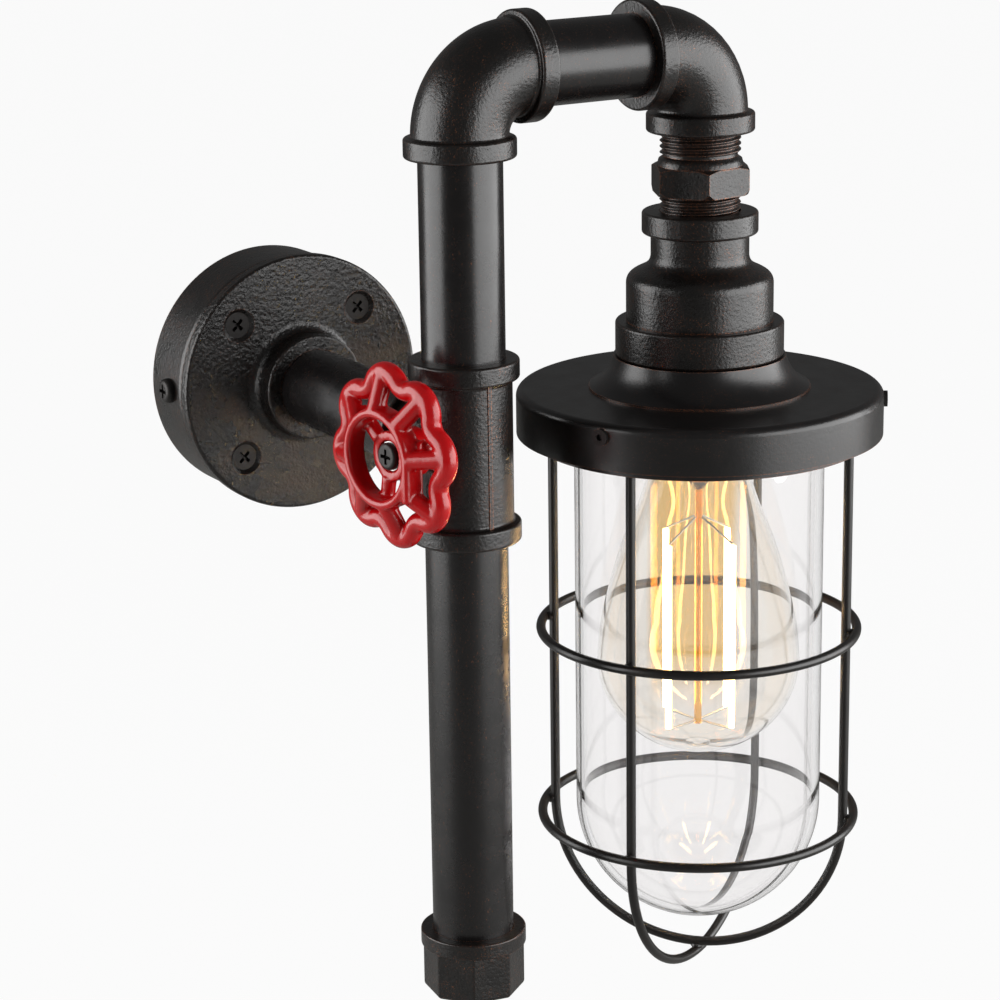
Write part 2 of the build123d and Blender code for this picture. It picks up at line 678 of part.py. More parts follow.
# Hexagon nipple: threaded ends, a round collar above the hexagon
with BuildPart() as hex_nipple:
    with BuildSketch(level(HEX_BOTTOM)):
        RegularPolygon(HEX_CORNER_R, 6, rotation=-90 - HEX_TURN)
    extrude(amount=HEX_HEIGHT)
    with BuildSketch(lamp_section()) as hex_envelope:
        with Locations((HEX_CORNER_R / 2, HEX_BOTTOM + HEX_HEIGHT / 2)):
            Rectangle(HEX_CORNER_R, HEX_HEIGHT)
        chamfer(hex_envelope.vertices().group_by(Axis.X)[-1], HEX_CORNER_DEPTH, HEX_CORNER_HEIGHT)
    revolve(axis=LAMP_AXIS, mode=Mode.INTERSECT)
    with BuildSketch(level(HEX_COLLAR_TOP)):
        Circle(HEX_COLLAR_OD / 2)
    extrude(amount=-HEX_COLLAR_HEIGHT, taper=-HEX_COLLAR_TAPER)
    with BuildSketch(level(REDUCER_TOP - ENGAGEMENT)):
        Circle(PIPE_R)
    extrude(amount=ELBOW_END - REDUCER_TOP + 2 * ENGAGEMENT)
    with BuildSketch(level(REDUCER_TOP - ENGAGEMENT)):
        Circle(NIPPLE_BORE / 2)
    extrude(amount=ELBOW_END - REDUCER_TOP + 2 * ENGAGEMENT, mode=Mode.SUBTRACT)
hex_nipple.part.label = "hex_nipple"
export_step(hex_nipple.part, "parts/hex_nipple.step")

# Bell reducer with an S-shaped shoulder between two bands
reducer_inner_r = REDUCER_BODY_OD / 2 - REDUCER_WALL
foot_socket_r = FOOT_THREAD_OD / 2
foot_socket_top = FOOT_BOTTOM + FOOT_ENGAGEMENT
with BuildPart() as reducer:
    with BuildSketch(lamp_section()) as bell:
        with BuildLine():
            Polyline(
                (SOCKET_R, REDUCER_TOP), (REDUCER_BAND_OD / 2, REDUCER_TOP),
                (REDUCER_BAND_OD / 2, REDUCER_NECK_TOP), (REDUCER_NECK_OD / 2, REDUCER_NECK_TOP),
                (REDUCER_NECK_OD / 2, SHOULDER_TOP))
            Spline(
                (REDUCER_NECK_OD / 2, SHOULDER_TOP), (REDUCER_BODY_OD / 2, SHOULDER_BOTTOM),
                tangents=[(0, -1), (0, -1)])
            Polyline(
                (REDUCER_BODY_OD / 2, SHOULDER_BOTTOM), (REDUCER_BODY_OD / 2, FOOT_TOP),
                (REDUCER_FOOT_OD / 2, FOOT_TOP), (REDUCER_FOOT_OD / 2, FOOT_BOTTOM),
                (foot_socket_r, FOOT_BOTTOM), (foot_socket_r, foot_socket_top),
                (reducer_inner_r, foot_socket_top), (reducer_inner_r, SHOULDER_BOTTOM),
                (BORE_R, SHOULDER_TOP), (BORE_R, REDUCER_TOP - ENGAGEMENT),
                (SOCKET_R, REDUCER_TOP - ENGAGEMENT), (SOCKET_R, REDUCER_TOP))
        make_face()
    revolve(axis=LAMP_AXIS)
    fillet(circles(REDUCER_BAND_OD) + circles(REDUCER_FOOT_OD), BAND_ROUND)
reducer.part.label = "reducer"
export_step(reducer.part, "parts/reducer.step")

# ---- Shade cap and lampholder ---------------------------------------------------------------

shade_r = SHADE_OD / 2
shade_inner_r = shade_r - SHADE_WALL
spigot_r = foot_socket_r - THREAD_PLAY
holder_bore_r = HOLDER_OD / 2 + HOLDER_PLAY
cap_screw_level = DISC_TOP - CAP_SCREW_DROP
cap_screw_faces = []
for index in range(CAP_SCREW_COUNT):
    screw_azimuth = CAP_SCREW_TURN + index * 360 / CAP_SCREW_COUNT
    place = azimuth(screw_azimuth, shade_r, cap_screw_level)
    outward = Vector(-sin(radians(screw_azimuth)), -cos(radians(screw_azimuth)), 0)
    cap_screw_faces.append(Plane(origin=place, z_dir=outward))
holder_screw_faces = [
    Plane(origin=(ARM_REACH + side * HOLDER_SCREW_RADIUS, -STANDOFF, HOLDER_FLANGE_BOTTOM), z_dir=(0, 0, -1))
    for side in (-1, 1)]

# Cast cap: threaded spigot, flared boss, disc, skirt, and a rib that presses the gasket
with BuildPart() as shade_cap:
    with BuildSketch(lamp_section()):
        with BuildLine():
            Polyline(
                (holder_bore_r, CEILING), (holder_bore_r, foot_socket_top), (spigot_r, foot_socket_top),
                (spigot_r, FOOT_BOTTOM), (BOSS_OD / 2, FOOT_BOTTOM))
            Spline(
                (BOSS_OD / 2, FOOT_BOTTOM), (BOSS_FLARE_OD / 2, DISC_TOP + FLARE_EDGE),
                tangents=[(0.25, -1), (1, -0.45)])
            Polyline(
                (BOSS_FLARE_OD / 2, DISC_TOP + FLARE_EDGE), (BOSS_FLARE_OD / 2, DISC_TOP),
                (shade_r - SHADE_ROUND, DISC_TOP))
            RadiusArc((shade_r - SHADE_ROUND, DISC_TOP), (shade_r, DISC_TOP - SHADE_ROUND), SHADE_ROUND)
            Polyline(
                (shade_r, DISC_TOP - SHADE_ROUND), (shade_r, SHADE_BOTTOM), (shade_inner_r, SHADE_BOTTOM),
                (shade_inner_r, CEILING), (SEAT_OD / 2, CEILING), (SEAT_OD / 2, SEAT_LEVEL),
                (SEAT_ID / 2, SEAT_LEVEL), (SEAT_ID / 2, CEILING), (holder_bore_r, CEILING))
        make_face()
    revolve(axis=LAMP_AXIS)
    for face in cap_screw_faces:
        disc(face, M3 + 2 * TAP_PLAY, -2 * SHADE_WALL, Mode.SUBTRACT)
        disc(face, CAP_SCREW_HEAD + 2 * TAP_PLAY, -CAP_SCREW_SINK, Mode.SUBTRACT)
    for face in holder_screw_faces:
        with BuildSketch(face):
            Circle(M3 / 2 + TAP_PLAY)
        extrude(amount=-HOLDER_SCREW_LENGTH, mode=Mode.SUBTRACT)
shade_cap.part.label = "shade_cap"
export_step(shade_cap.part, "parts/shade_cap.step")

# Clamping screws round the skirt: low domed heads with a dimple
upstand_r = shade_inner_r - UPSTAND_PLAY
with BuildPart() as cap_screws:
    for face in cap_screw_faces:
        disc(face.offset(-CAP_SCREW_SINK), CAP_SCREW_HEAD, CAP_SCREW_PROUD + CAP_SCREW_SINK)
        disc(face.offset(CAP_SCREW_PROUD), CAP_SCREW_DIMPLE, -CAP_SCREW_PROUD, Mode.SUBTRACT)
        disc(face, M3, upstand_r + SCREW_TIP_GAP - shade_r)
cap_screws.part.label = "cap_screws"
export_step(cap_screws.part, "parts/cap_screws.step")

# Ceramic lampholder with a flange under the ceiling of the cap
shell_r = BULB_CAP_OD / 2 + SHELL_PLAY
cavity_r = shell_r + SHELL_THICKNESS + TAP_PLAY
with BuildPart() as lampholder_body:
    with BuildSketch(lamp_section()):
        with BuildLine():
            Polyline(
                (0, HOLDER_TOP), (HOLDER_OD / 2 - HOLDER_EDGE, HOLDER_TOP),
                (HOLDER_OD / 2, HOLDER_TOP - HOLDER_EDGE),
                (HOLDER_OD / 2, CEILING), (HOLDER_FLANGE_OD / 2, CEILING),
                (HOLDER_FLANGE_OD / 2, HOLDER_FLANGE_BOTTOM), (HOLDER_OD / 2, HOLDER_FLANGE_BOTTOM),
                (HOLDER_OD / 2, HOLDER_BOTTOM), (cavity_r, HOLDER_BOTTOM), (cavity_r, CAVITY_TOP),
                (0, CAVITY_TOP), (0, HOLDER_TOP))
        make_face()
    revolve(axis=LAMP_AXIS)
    for face in holder_screw_faces:
        with BuildSketch(face):
            Circle(M3 / 2 + SCREW_PLAY)
        extrude(amount=-HOLDER_FLANGE, mode=Mode.SUBTRACT)
lampholder_body.part.label = "lampholder_body"
export_step(lampholder_body.part, "parts/lampholder_body.step")

with BuildPart() as lampholder_screws:
    for face in holder_screw_faces:
        with BuildSketch(face):
            Circle(HOLDER_SCREW_HEAD / 2)
        extrude(amount=HOLDER_SCREW_HEIGHT)
        with BuildSketch(face):
            Circle(M3 / 2)
        extrude(amount=-HOLDER_SCREW_LENGTH)
        with BuildSketch(face.offset(HOLDER_SCREW_HEIGHT)):
            Rectangle(2 * M3, DRIVER_SLOT)
        extrude(amount=-HOLDER_SCREW_HEIGHT / 2, mode=Mode.SUBTRACT)
lampholder_screws.part.label = "lampholder_screws"
export_step(lampholder_screws.part, "parts/lampholder_screws.step")

# Brass screw shell and the spring contact at its top
with BuildPart() as lampholder_shell:
    with BuildSketch(level(HOLDER_BOTTOM + SHELL_INSET)):
        Circle(shell_r + SHELL_THICKNESS)
        Circle(shell_r, mode=Mode.SUBTRACT)
    extrude(amount=BULB_CAP_TOP - HOLDER_BOTTOM)
lampholder_shell.part.label = "lampholder_shell"
export_step(lampholder_shell.part, "parts/lampholder_shell.step")

with BuildPart() as lampholder_contact:
    with BuildSketch(level(CAVITY_TOP - CONTACT_THICKNESS)):
        SlotOverall(CONTACT_LENGTH, CONTACT_WIDTH)
    extrude(amount=CONTACT_THICKNESS)
lampholder_contact.part.label = "lampholder_contact"
export_step(lampholder_contact.part, "parts/lampholder_contact.step")

# ---- Cable through the pipes ----------------------------------------------------------------

cable_route = [
    (0, -BRACKET_THICKNESS - BLOCK_HEIGHT, 0),
    (0, -STANDOFF, 0),
    (0, -STANDOFF, ARM_HEIGHT),
    (ARM_REACH, -STANDOFF, ARM_HEIGHT),
    (ARM_REACH, -STANDOFF, HOLDER_TOP),
]
with BuildPart() as lamp_cable:
    with BuildLine() as route:
        FilletPolyline(*cable_route, radius=[CABLE_TEE_BEND, ELBOW_BEND, ELBOW_BEND])
    with BuildSketch(wall_plane(BRACKET_THICKNESS + BLOCK_HEIGHT)):
        Circle(CABLE_OD / 2)
    sweep(path=route.wire())
lamp_cable.part.label = "lamp_cable"
export_step(lamp_cable.part, "parts/lamp_cable.step")
cable_section = pi * (CABLE_OD / 2) ** 2
print("cable length", round(route.wire().length, 1), "volume over section times length",
      round(lamp_cable.part.volume / (cable_section * route.wire().length), 4))

# ---- Jar and cage ---------------------------------------------------------------------------

with BuildPart() as jar_gasket:
    with BuildSketch(level(GASKET_BOTTOM)):
        Circle(SEAT_OD / 2 - GASKET_PLAY)
        Circle(SEAT_ID / 2, mode=Mode.SUBTRACT)
    extrude(amount=GASKET_THICKNESS)
jar_gasket.part.label = "jar_gasket"
export_step(jar_gasket.part, "parts/jar_gasket.step")

# Clear glass jar with a clamping rim and a round bottom
jar_r = JAR_OD / 2
jar_inner_r = jar_r - JAR_WALL
jar_dome = GASKET_BOTTOM - JAR_HEIGHT + jar_r
with BuildPart() as glass_jar:
    with BuildSketch(lamp_section()):
        with BuildLine():
            Polyline(
                (jar_inner_r, GASKET_BOTTOM), (JAR_RIM_OD / 2, GASKET_BOTTOM),
                (JAR_RIM_OD / 2, JAR_RIM_BOTTOM), (jar_r, JAR_RIM_BOTTOM), (jar_r, jar_dome))
            CenterArc((0, jar_dome), jar_r, 0, -90)
            Line((0, jar_dome - jar_r), (0, jar_dome - jar_inner_r))
            CenterArc((0, jar_dome), jar_inner_r, 0, -90)
            Line((jar_inner_r, jar_dome), (jar_inner_r, GASKET_BOTTOM))
        make_face()
    revolve(axis=LAMP_AXIS)
glass_jar.part.label = "glass_jar"
export_step(glass_jar.part, "parts/glass_jar.step")

# Collar that clamps the jar and carries the cage
lip_bore_r = jar_r + LIP_BORE_PLAY
upstand_top = CEILING - UPSTAND_PLAY
with BuildPart() as cage_collar:
    with BuildSketch(lamp_section()):
        with BuildLine():
            Polyline(
                (lip_bore_r, LIP_BOTTOM), (LIP_OD / 2, LIP_BOTTOM), (LIP_OD / 2, SHADE_BOTTOM),
                (upstand_r, SHADE_BOTTOM), (upstand_r, upstand_top), (upstand_r - UPSTAND_WALL, upstand_top),
                (upstand_r - UPSTAND_WALL, LIP_TOP + LIP_GUSSET), (JAR_RIM_OD / 2 + LIP_GUSSET, LIP_TOP),
                (lip_bore_r, LIP_TOP), (lip_bore_r, LIP_BOTTOM))
        make_face()
    revolve(axis=LAMP_AXIS)
cage_collar.part.label = "cage_collar"
export_step(cage_collar.part, "parts/cage_collar.step")

# Two wire hoops that cross under the jar, the second one wire higher than the first
for index, label in enumerate(("cage_hoop_lower", "cage_hoop_upper")):
    hoop_turn = HOOP_AZIMUTHS[index]
    hoop_bottom = -HOOP_BOTTOM + index * (WIRE + WELD_GAP)
    with BuildPart() as hoop:
        with BuildLine() as hoop_path:
            bend_level = hoop_bottom + HOOP_RADIUS
            Line(azimuth(hoop_turn, HOOP_RADIUS, LIP_BOTTOM), azimuth(hoop_turn, HOOP_RADIUS, bend_level))
            ThreePointArc(
                azimuth(hoop_turn, HOOP_RADIUS, bend_level), azimuth(hoop_turn, 0, hoop_bottom),
                azimuth(hoop_turn + 180, HOOP_RADIUS, bend_level))
            Line(azimuth(hoop_turn + 180, HOOP_RADIUS, bend_level),
                 azimuth(hoop_turn + 180, HOOP_RADIUS, LIP_BOTTOM))
        with BuildSketch(Plane(origin=azimuth(hoop_turn, HOOP_RADIUS, LIP_BOTTOM), z_dir=(0, 0, -1))):
            Circle(WIRE / 2)
        sweep(path=hoop_path.wire())
    hoop.part.label = label
    export_step(hoop.part, f"parts/{label}.step")

# Two wire rings welded round the hoops
ring_radius = HOOP_RADIUS + WIRE + WELD_GAP
for height, label in zip(RING_HEIGHTS, ("cage_ring_upper", "cage_ring_lower")):
    with BuildPart() as ring:
        with BuildSketch(lamp_section()):
            with Locations((ring_radius, height)):
                Circle(WIRE / 2)
        revolve(axis=LAMP_AXIS)
    ring.part.label = label
    export_step(ring.part, f"parts/{label}.step")

# ---- Bulb -----------------------------------------------------------------------------------

bulb_r = BULB_MAX_OD / 2
bulb_neck_r = BULB_NECK_OD / 2
bulb_widest = BULB_BOTTOM + PIP_LENGTH + BULB_MAX_HEIGHT
neck_top = BULB_CAP_BOTTOM + BULB_NECK_DEPTH


def bulb_outline(inset, pip_angle):
    """Half outline of the glass from the neck to the bottom, drawn in by an inset."""
    height = bulb_widest - BULB_CAP_BOTTOM
    Line((bulb_neck_r - inset, neck_top), (bulb_neck_r - inset, BULB_CAP_BOTTOM))
    Spline(
        (bulb_neck_r - inset, BULB_CAP_BOTTOM),
        *[(bulb_r * wide - inset, BULB_CAP_BOTTOM + height * down) for down, wide in BULB_SHAPE],
        (bulb_r - inset, bulb_widest),
        tangents=[(0, -1), (0, -1)])
    EllipticalCenterArc(
        (0, bulb_widest), bulb_r - inset, BULB_MAX_HEIGHT - inset, 270 + pip_angle, arc_size=90 - pip_angle)


# Teardrop glass with the sealing pip at its bottom
pip_angle = degrees(asin(PIP_OD / BULB_MAX_OD))
pip_level = bulb_widest - BULB_MAX_HEIGHT * cos(radians(pip_angle))
pip_depth = pip_level - BULB_BOTTOM
pip_round = (pip_depth ** 2 + (PIP_OD / 2) ** 2) / (2 * pip_depth)
pip_swing = acos(1 - pip_depth / pip_round)
with BuildPart() as bulb_glass:
    with BuildSketch(lamp_section()):
        with BuildLine():
            bulb_outline(0, pip_angle)
            ThreePointArc(
                (PIP_OD / 2, pip_level),
                (pip_round * sin(pip_swing / 2), BULB_BOTTOM + pip_round * (1 - cos(pip_swing / 2))),
                (0, BULB_BOTTOM))
            Line((0, BULB_BOTTOM), (0, bulb_widest - BULB_MAX_HEIGHT + BULB_GLASS))
            bulb_outline(BULB_GLASS, 0)
            Line((bulb_neck_r - BULB_GLASS, neck_top), (bulb_neck_r, neck_top))
        make_face()
    revolve(axis=LAMP_AXIS)
bulb_glass.part.label = "bulb_glass"
export_step(bulb_glass.part, "parts/bulb_glass.step")

# Screw cap of the bulb, its insulator and its tip
with BuildPart() as bulb_cap:
    with BuildSketch(lamp_section()):
        cap_r = BULB_CAP_OD / 2
        cap_mouth_r = cap_r - BULB_CAP_SHOULDER
        skin_level = BULB_CAP_TOP - BULB_CAP_SKIN
        with BuildLine():
            Polyline(
                (cap_r, BULB_CAP_BOTTOM), (cap_r, BULB_CAP_TOP - BULB_CAP_SHOULDER),
                (cap_mouth_r, BULB_CAP_TOP), (cap_mouth_r - BULB_CAP_SKIN, BULB_CAP_TOP),
                (cap_mouth_r - BULB_CAP_SKIN, skin_level),
                (cap_r - BULB_CAP_SKIN, skin_level - BULB_CAP_SHOULDER),
                (cap_r - BULB_CAP_SKIN, BULB_CAP_BOTTOM), (cap_r, BULB_CAP_BOTTOM))
        make_face()
    revolve(axis=LAMP_AXIS)
bulb_cap.part.label = "bulb_cap"
export_step(bulb_cap.part, "parts/bulb_cap.step")

with BuildPart() as bulb_insulator:
    with BuildSketch(level(BULB_CAP_TOP)):
        Circle(BULB_CAP_OD / 2 - BULB_CAP_SHOULDER)
    extrude(amount=BULB_TIP_HEIGHT - BULB_TIP_THICKNESS, taper=INSULATOR_TAPER)
bulb_insulator.part.label = "bulb_insulator"
export_step(bulb_insulator.part, "parts/bulb_insulator.step")

with BuildPart() as bulb_tip:
    with BuildSketch(level(BULB_TIP - BULB_TIP_THICKNESS)):
        Circle(BULB_TIP_OD / 2)
    extrude(amount=BULB_TIP_THICKNESS)
    fillet(edges().group_by(Axis.Z)[-1], BULB_TIP_ROUND)
bulb_tip.part.label = "bulb_tip"
export_step(bulb_tip.part, "parts/bulb_tip.step")

# Glass stem: sealed to the neck, drawn to a thin rod that carries the supports
filament_top = BULB_CAP_BOTTOM - FILAMENT_TOP
filament_bottom = filament_top - FILAMENT_LENGTH
stem_bottom = BULB_CAP_BOTTOM - STEM_LENGTH
rod_bottom = filament_bottom - ROD_OVERRUN
stem_flare_r = bulb_neck_r - BULB_GLASS - TAP_PLAY
flare_level = neck_top - BULB_GLASS
flare_foot = BULB_CAP_BOTTOM - STEM_SHOULDER
with BuildPart() as bulb_stem:
    with BuildSketch(lamp_section()):
        with BuildLine():
            Polyline((0, neck_top), (stem_flare_r, neck_top), (stem_flare_r, flare_level))
            Spline(
                (stem_flare_r, flare_level), (STEM_OD / 2, flare_foot),
                tangents=[(-1, -0.4), (0, -1)])
            Polyline(
                (STEM_OD / 2, flare_foot), (STEM_OD / 2, stem_bottom + STEM_SHOULDER),
                (STEM_ROD / 2, stem_bottom), (STEM_ROD / 2, rod_bottom), (0, rod_bottom), (0, neck_top))
        make_face()
    revolve(axis=LAMP_AXIS)
bulb_stem.part.label = "bulb_stem"
export_step(bulb_stem.part, "parts/bulb_stem.step")

filament_turns = [FILAMENT_TURN + quarter * 90 for quarter in range(4)]
with BuildPart() as bulb_filaments:
    for turn in filament_turns:
        round_bar(azimuth(turn, FILAMENT_RADIUS, filament_top),
                  azimuth(turn, FILAMENT_RADIUS, filament_bottom), FILAMENT_OD)
bulb_filaments.part.label = "bulb_filaments"
export_step(bulb_filaments.part, "parts/bulb_filaments.step")

# Support wires from the rod to both ends of each filament
with BuildPart() as bulb_supports:
    for turn in filament_turns:
        for rod_level, wire_level in (
                (filament_top + SUPPORT_RISE, filament_top + SUPPORT_WIRE * 0.7),
                (rod_bottom + ROD_OVERRUN / 2, filament_bottom - SUPPORT_WIRE * 0.7)):
            round_bar(azimuth(turn, STEM_ROD / 2 + SUPPORT_GAP, rod_level),
                      azimuth(turn, FILAMENT_RADIUS, wire_level), SUPPORT_WIRE)
bulb_supports.part.label = "bulb_supports"
export_step(bulb_supports.part, "parts/bulb_supports.step")

# ---- Hand wheel -----------------------------------------------------------------------------

shoulder_face = BOSS_REACH + SPINDLE_SHOULDER
journal_end = shoulder_face + JOURNAL_LENGTH
hub_back = shoulder_face + WHEEL_END_PLAY
hub_face = hub_back + HUB_LENGTH
recess_floor = journal_end - WHEEL_END_PLAY
rim_level = hub_face - RIM_SINK

# Spindle screwed into the tee: shoulder, journal, tapped end
with BuildPart() as wheel_spindle:
    with BuildSketch(wheel_plane(BORE_R + 1)):
        Circle(SPINDLE_THREAD / 2)
    extrude(amount=BOSS_REACH - BORE_R - 1)
    with BuildSketch(wheel_plane(BOSS_REACH)):
        Circle(SPINDLE_SHOULDER_OD / 2)
    extrude(amount=SPINDLE_SHOULDER)
    with BuildSketch(wheel_plane(shoulder_face)):
        Circle(JOURNAL_OD / 2)
    extrude(amount=JOURNAL_LENGTH)
    with BuildSketch(wheel_plane(journal_end)):
        Circle(M4 / 2 + TAP_PLAY)
    extrude(amount=-WHEEL_SCREW_LENGTH, mode=Mode.SUBTRACT)
wheel_spindle.part.label = "wheel_spindle"
export_step(wheel_spindle.part, "parts/wheel_spindle.step")

with BuildPart() as wheel_washer:
    with BuildSketch(wheel_plane(journal_end)):
        Circle(WASHER_OD / 2)
        Circle(M4 / 2 + SCREW_PLAY, mode=Mode.SUBTRACT)
    extrude(amount=WASHER_THICKNESS)
wheel_washer.part.label = "wheel_washer"
export_step(wheel_washer.part, "parts/wheel_washer.step")

with BuildPart() as wheel_screw:
    pan_screw(wheel_plane(journal_end + WASHER_THICKNESS), M4, WHEEL_SCREW_HEAD, WHEEL_SCREW_HEIGHT,
              WHEEL_SCREW_LENGTH)
wheel_screw.part.label = "wheel_screw"
export_step(wheel_screw.part, "parts/wheel_screw.step")

# Lobed rim: a convex arc over each spoke, a concave arc between, tangent to each other
half_pitch = radians(180 / LOBES)
lobe_centre = LOBE_PEAK - LOBE_ROUND
valley_round = ((lobe_centre ** 2 + LOBE_VALLEY ** 2 - 2 * lobe_centre * LOBE_VALLEY * cos(half_pitch)
                 - LOBE_ROUND ** 2)
                / (2 * (LOBE_ROUND + lobe_centre * cos(half_pitch) - LOBE_VALLEY)))
valley_centre = LOBE_VALLEY + valley_round


def rim_point(radius, turn):
    """Point of the rim's centre line in the wheel's plane, turn in radians."""
    return (radius * cos(turn), radius * sin(turn), 0)


def lobe_joint(lobe_turn, side):
    """Where the arc over a spoke meets the next hollow."""
    start = Vector(*rim_point(lobe_centre, lobe_turn))
    end = Vector(*rim_point(valley_centre, lobe_turn + side * half_pitch))
    return start + (end - start).normalized() * LOBE_ROUND


def rim_arc(plane, centre, start, end):
    """Round tube along an arc of the rim, given in the wheel plane's own coordinates."""
    spoke = start - centre
    swept = degrees(atan2(spoke.cross(end - centre).Z, spoke.dot(end - centre)))
    facing = plane.z_dir if swept > 0 else -plane.z_dir
    radial = plane.from_local_coords(start) - plane.from_local_coords(centre)
    with BuildSketch(Plane(origin=plane.from_local_coords(start), x_dir=radial,
                           z_dir=facing.cross(radial))) as section:
        Circle(RIM_OD / 2)
    revolve(section.sketch, axis=Axis(plane.from_local_coords(centre), facing), revolution_arc=abs(swept))


with BuildPart() as hand_wheel:
    rim_plane = wheel_plane(rim_level)
    for index in range(LOBES):
        lobe_turn = radians(LOBE_START) + index * 2 * half_pitch
        rim_arc(rim_plane, Vector(*rim_point(lobe_centre, lobe_turn)),
                lobe_joint(lobe_turn, -1), lobe_joint(lobe_turn, 1))
        rim_arc(rim_plane, Vector(*rim_point(valley_centre, lobe_turn + half_pitch)),
                lobe_joint(lobe_turn, 1), lobe_joint(lobe_turn + 2 * half_pitch, -1))
    ring_plane = wheel_plane(hub_face + INNER_RING_FRONT - SPOKE_OD / 2)
    for index in range(LOBES):
        lobe_turn = radians(LOBE_START) + index * 2 * half_pitch
        spoke_start = rim_point(INNER_RING_OD / 2 - INNER_RING_WALL / 2, lobe_turn)
        spoke_end = rim_point(LOBE_PEAK, lobe_turn)
        round_bar(ring_plane.from_local_coords(spoke_start), rim_plane.from_local_coords(spoke_end), SPOKE_OD)
    with BuildSketch(Plane(origin=wheel_origin, x_dir=rim_plane.x_dir, z_dir=-rim_plane.y_dir)) as ring_section:
        with Locations(((INNER_RING_OD - INNER_RING_WALL) / 2,
                        hub_face + (INNER_RING_FRONT - INNER_RING_BACK) / 2)):
            RectangleRounded(INNER_RING_WALL, INNER_RING_FRONT + INNER_RING_BACK, INNER_RING_ROUND)
    revolve(ring_section.sketch, axis=Axis(wheel_origin, wheel_out))
    with BuildSketch(wheel_plane(hub_back)):
        Circle(HUB_OD / 2)
    extrude(amount=HUB_LENGTH)
    web_plane = wheel_plane(hub_face - WEB_SINK)
    for index in range(WEB_COUNT):
        web_turn = radians(WEB_TURN + index * 360 / WEB_COUNT)
        web_start = rim_point(HUB_OD / 2 - 1, web_turn)
        web_end = rim_point(WEB_REACH, web_turn)
        round_bar(web_plane.from_local_coords(web_start), web_plane.from_local_coords(web_end), WEB_OD)
    with BuildSketch(wheel_plane(hub_back)):
        Circle(JOURNAL_OD / 2 + RUNNING_PLAY)
    extrude(amount=HUB_LENGTH, mode=Mode.SUBTRACT)
    with BuildSketch(wheel_plane(hub_face)):
        Circle(WASHER_OD / 2 + HUB_RECESS_PLAY)
    extrude(amount=recess_floor - hub_face, mode=Mode.SUBTRACT)
hand_wheel.part.label = "hand_wheel"
export_step(hand_wheel.part, "parts/hand_wheel.step")
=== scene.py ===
# %% [markdown]
# # A wall light made of pipe fittings
#
# The real lamp is screwed together from black cast fittings and steel pipe. A red hand wheel sits
# on the side of the tee, and a clear jar with a wire cage hangs from the arm round a lit filament
# bulb. The solids come ready from the CAD model. This lesson gives them their finishes, and makes
# new meshes where a casting, a thread or blown glass needs a softer shape than CAD gives.

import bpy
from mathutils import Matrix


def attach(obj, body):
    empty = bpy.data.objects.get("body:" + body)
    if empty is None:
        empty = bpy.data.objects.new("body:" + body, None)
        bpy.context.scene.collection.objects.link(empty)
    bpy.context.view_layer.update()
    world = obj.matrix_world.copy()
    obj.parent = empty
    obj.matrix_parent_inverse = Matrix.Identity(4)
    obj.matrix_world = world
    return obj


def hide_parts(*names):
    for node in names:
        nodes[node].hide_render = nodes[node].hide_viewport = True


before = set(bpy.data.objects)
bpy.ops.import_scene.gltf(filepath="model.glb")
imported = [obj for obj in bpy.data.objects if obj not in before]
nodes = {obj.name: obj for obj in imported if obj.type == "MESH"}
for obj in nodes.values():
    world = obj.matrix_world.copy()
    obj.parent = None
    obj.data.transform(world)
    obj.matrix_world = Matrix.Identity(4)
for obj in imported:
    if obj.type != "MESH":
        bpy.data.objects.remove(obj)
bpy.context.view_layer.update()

# %% [markdown]
# ## Where things are
#
# Blender counts in metres and the lamp was measured in millimetres, so one factor turns them. The
# wall is the plane Y = 0 and the room lies towards -Y. Everything round lies on the upright axis
# through the jar, which stands where LAMP_X and LAMP_Y say.

# %% Tools for the rest
from math import cos, pi, radians, sin

import bmesh
import bpy
from mathutils import Matrix, Vector, noise

MM = 0.001
LAMP_X, LAMP_Y = 85, -130
LAMP = Vector((LAMP_X, LAMP_Y, 0)) * MM
scene = bpy.context.scene
scene.view_settings.view_transform = "Standard"
print("the jar's axis is at", [round(value, 3) for value in LAMP])

# %% [markdown]
# ## The camera
#
# The camera could be placed by eye, but the round mouths of the fittings tell where it stood.
# It looked from the left and from above, through a long lens, and leaned by less than a degree.

# %% The camera
TURN, TILT, LEAN = radians(31.278), radians(15.721), radians(-0.822)
CAMERA_SPOT = Vector((-439.6, -873.2, 227.0)) * MM
forward = Vector((sin(TURN) * cos(TILT), cos(TURN) * cos(TILT), -sin(TILT)))
level_right = Vector((cos(TURN), -sin(TURN), 0))
level_up = level_right.cross(forward)
right = cos(LEAN) * level_right + sin(LEAN) * level_up
up = cos(LEAN) * level_up - sin(LEAN) * level_right

camera = bpy.data.objects.new("camera", bpy.data.cameras.new("camera"))
scene.collection.objects.link(camera)
scene.camera = camera
camera.data.lens = 108
camera.data.sensor_width = 36
camera.data.clip_end = 50
camera.matrix_world = Matrix.Translation(CAMERA_SPOT) @ Matrix((right, up, -forward)).transposed().to_4x4()
print("camera", [round(value, 3) for value in camera.location])

# %% [markdown]
# ## Helpers for colours and nodes
#
# A shader counts light in linear steps, while a colour picker shows sRGB. One function turns a
# hex colour into the linear one. A second adds a node, sets it and wires it in one call.


# %% Colours and nodes
def linear(colour):
    """Linear colour for an sRGB hex colour."""
    channels = [int(colour[start:start + 2], 16) / 255 for start in (1, 3, 5)]
    return [c / 12.92 if c <= 0.04045 else ((c + 0.055) / 1.055) ** 2.4 for c in channels] + [1.0]


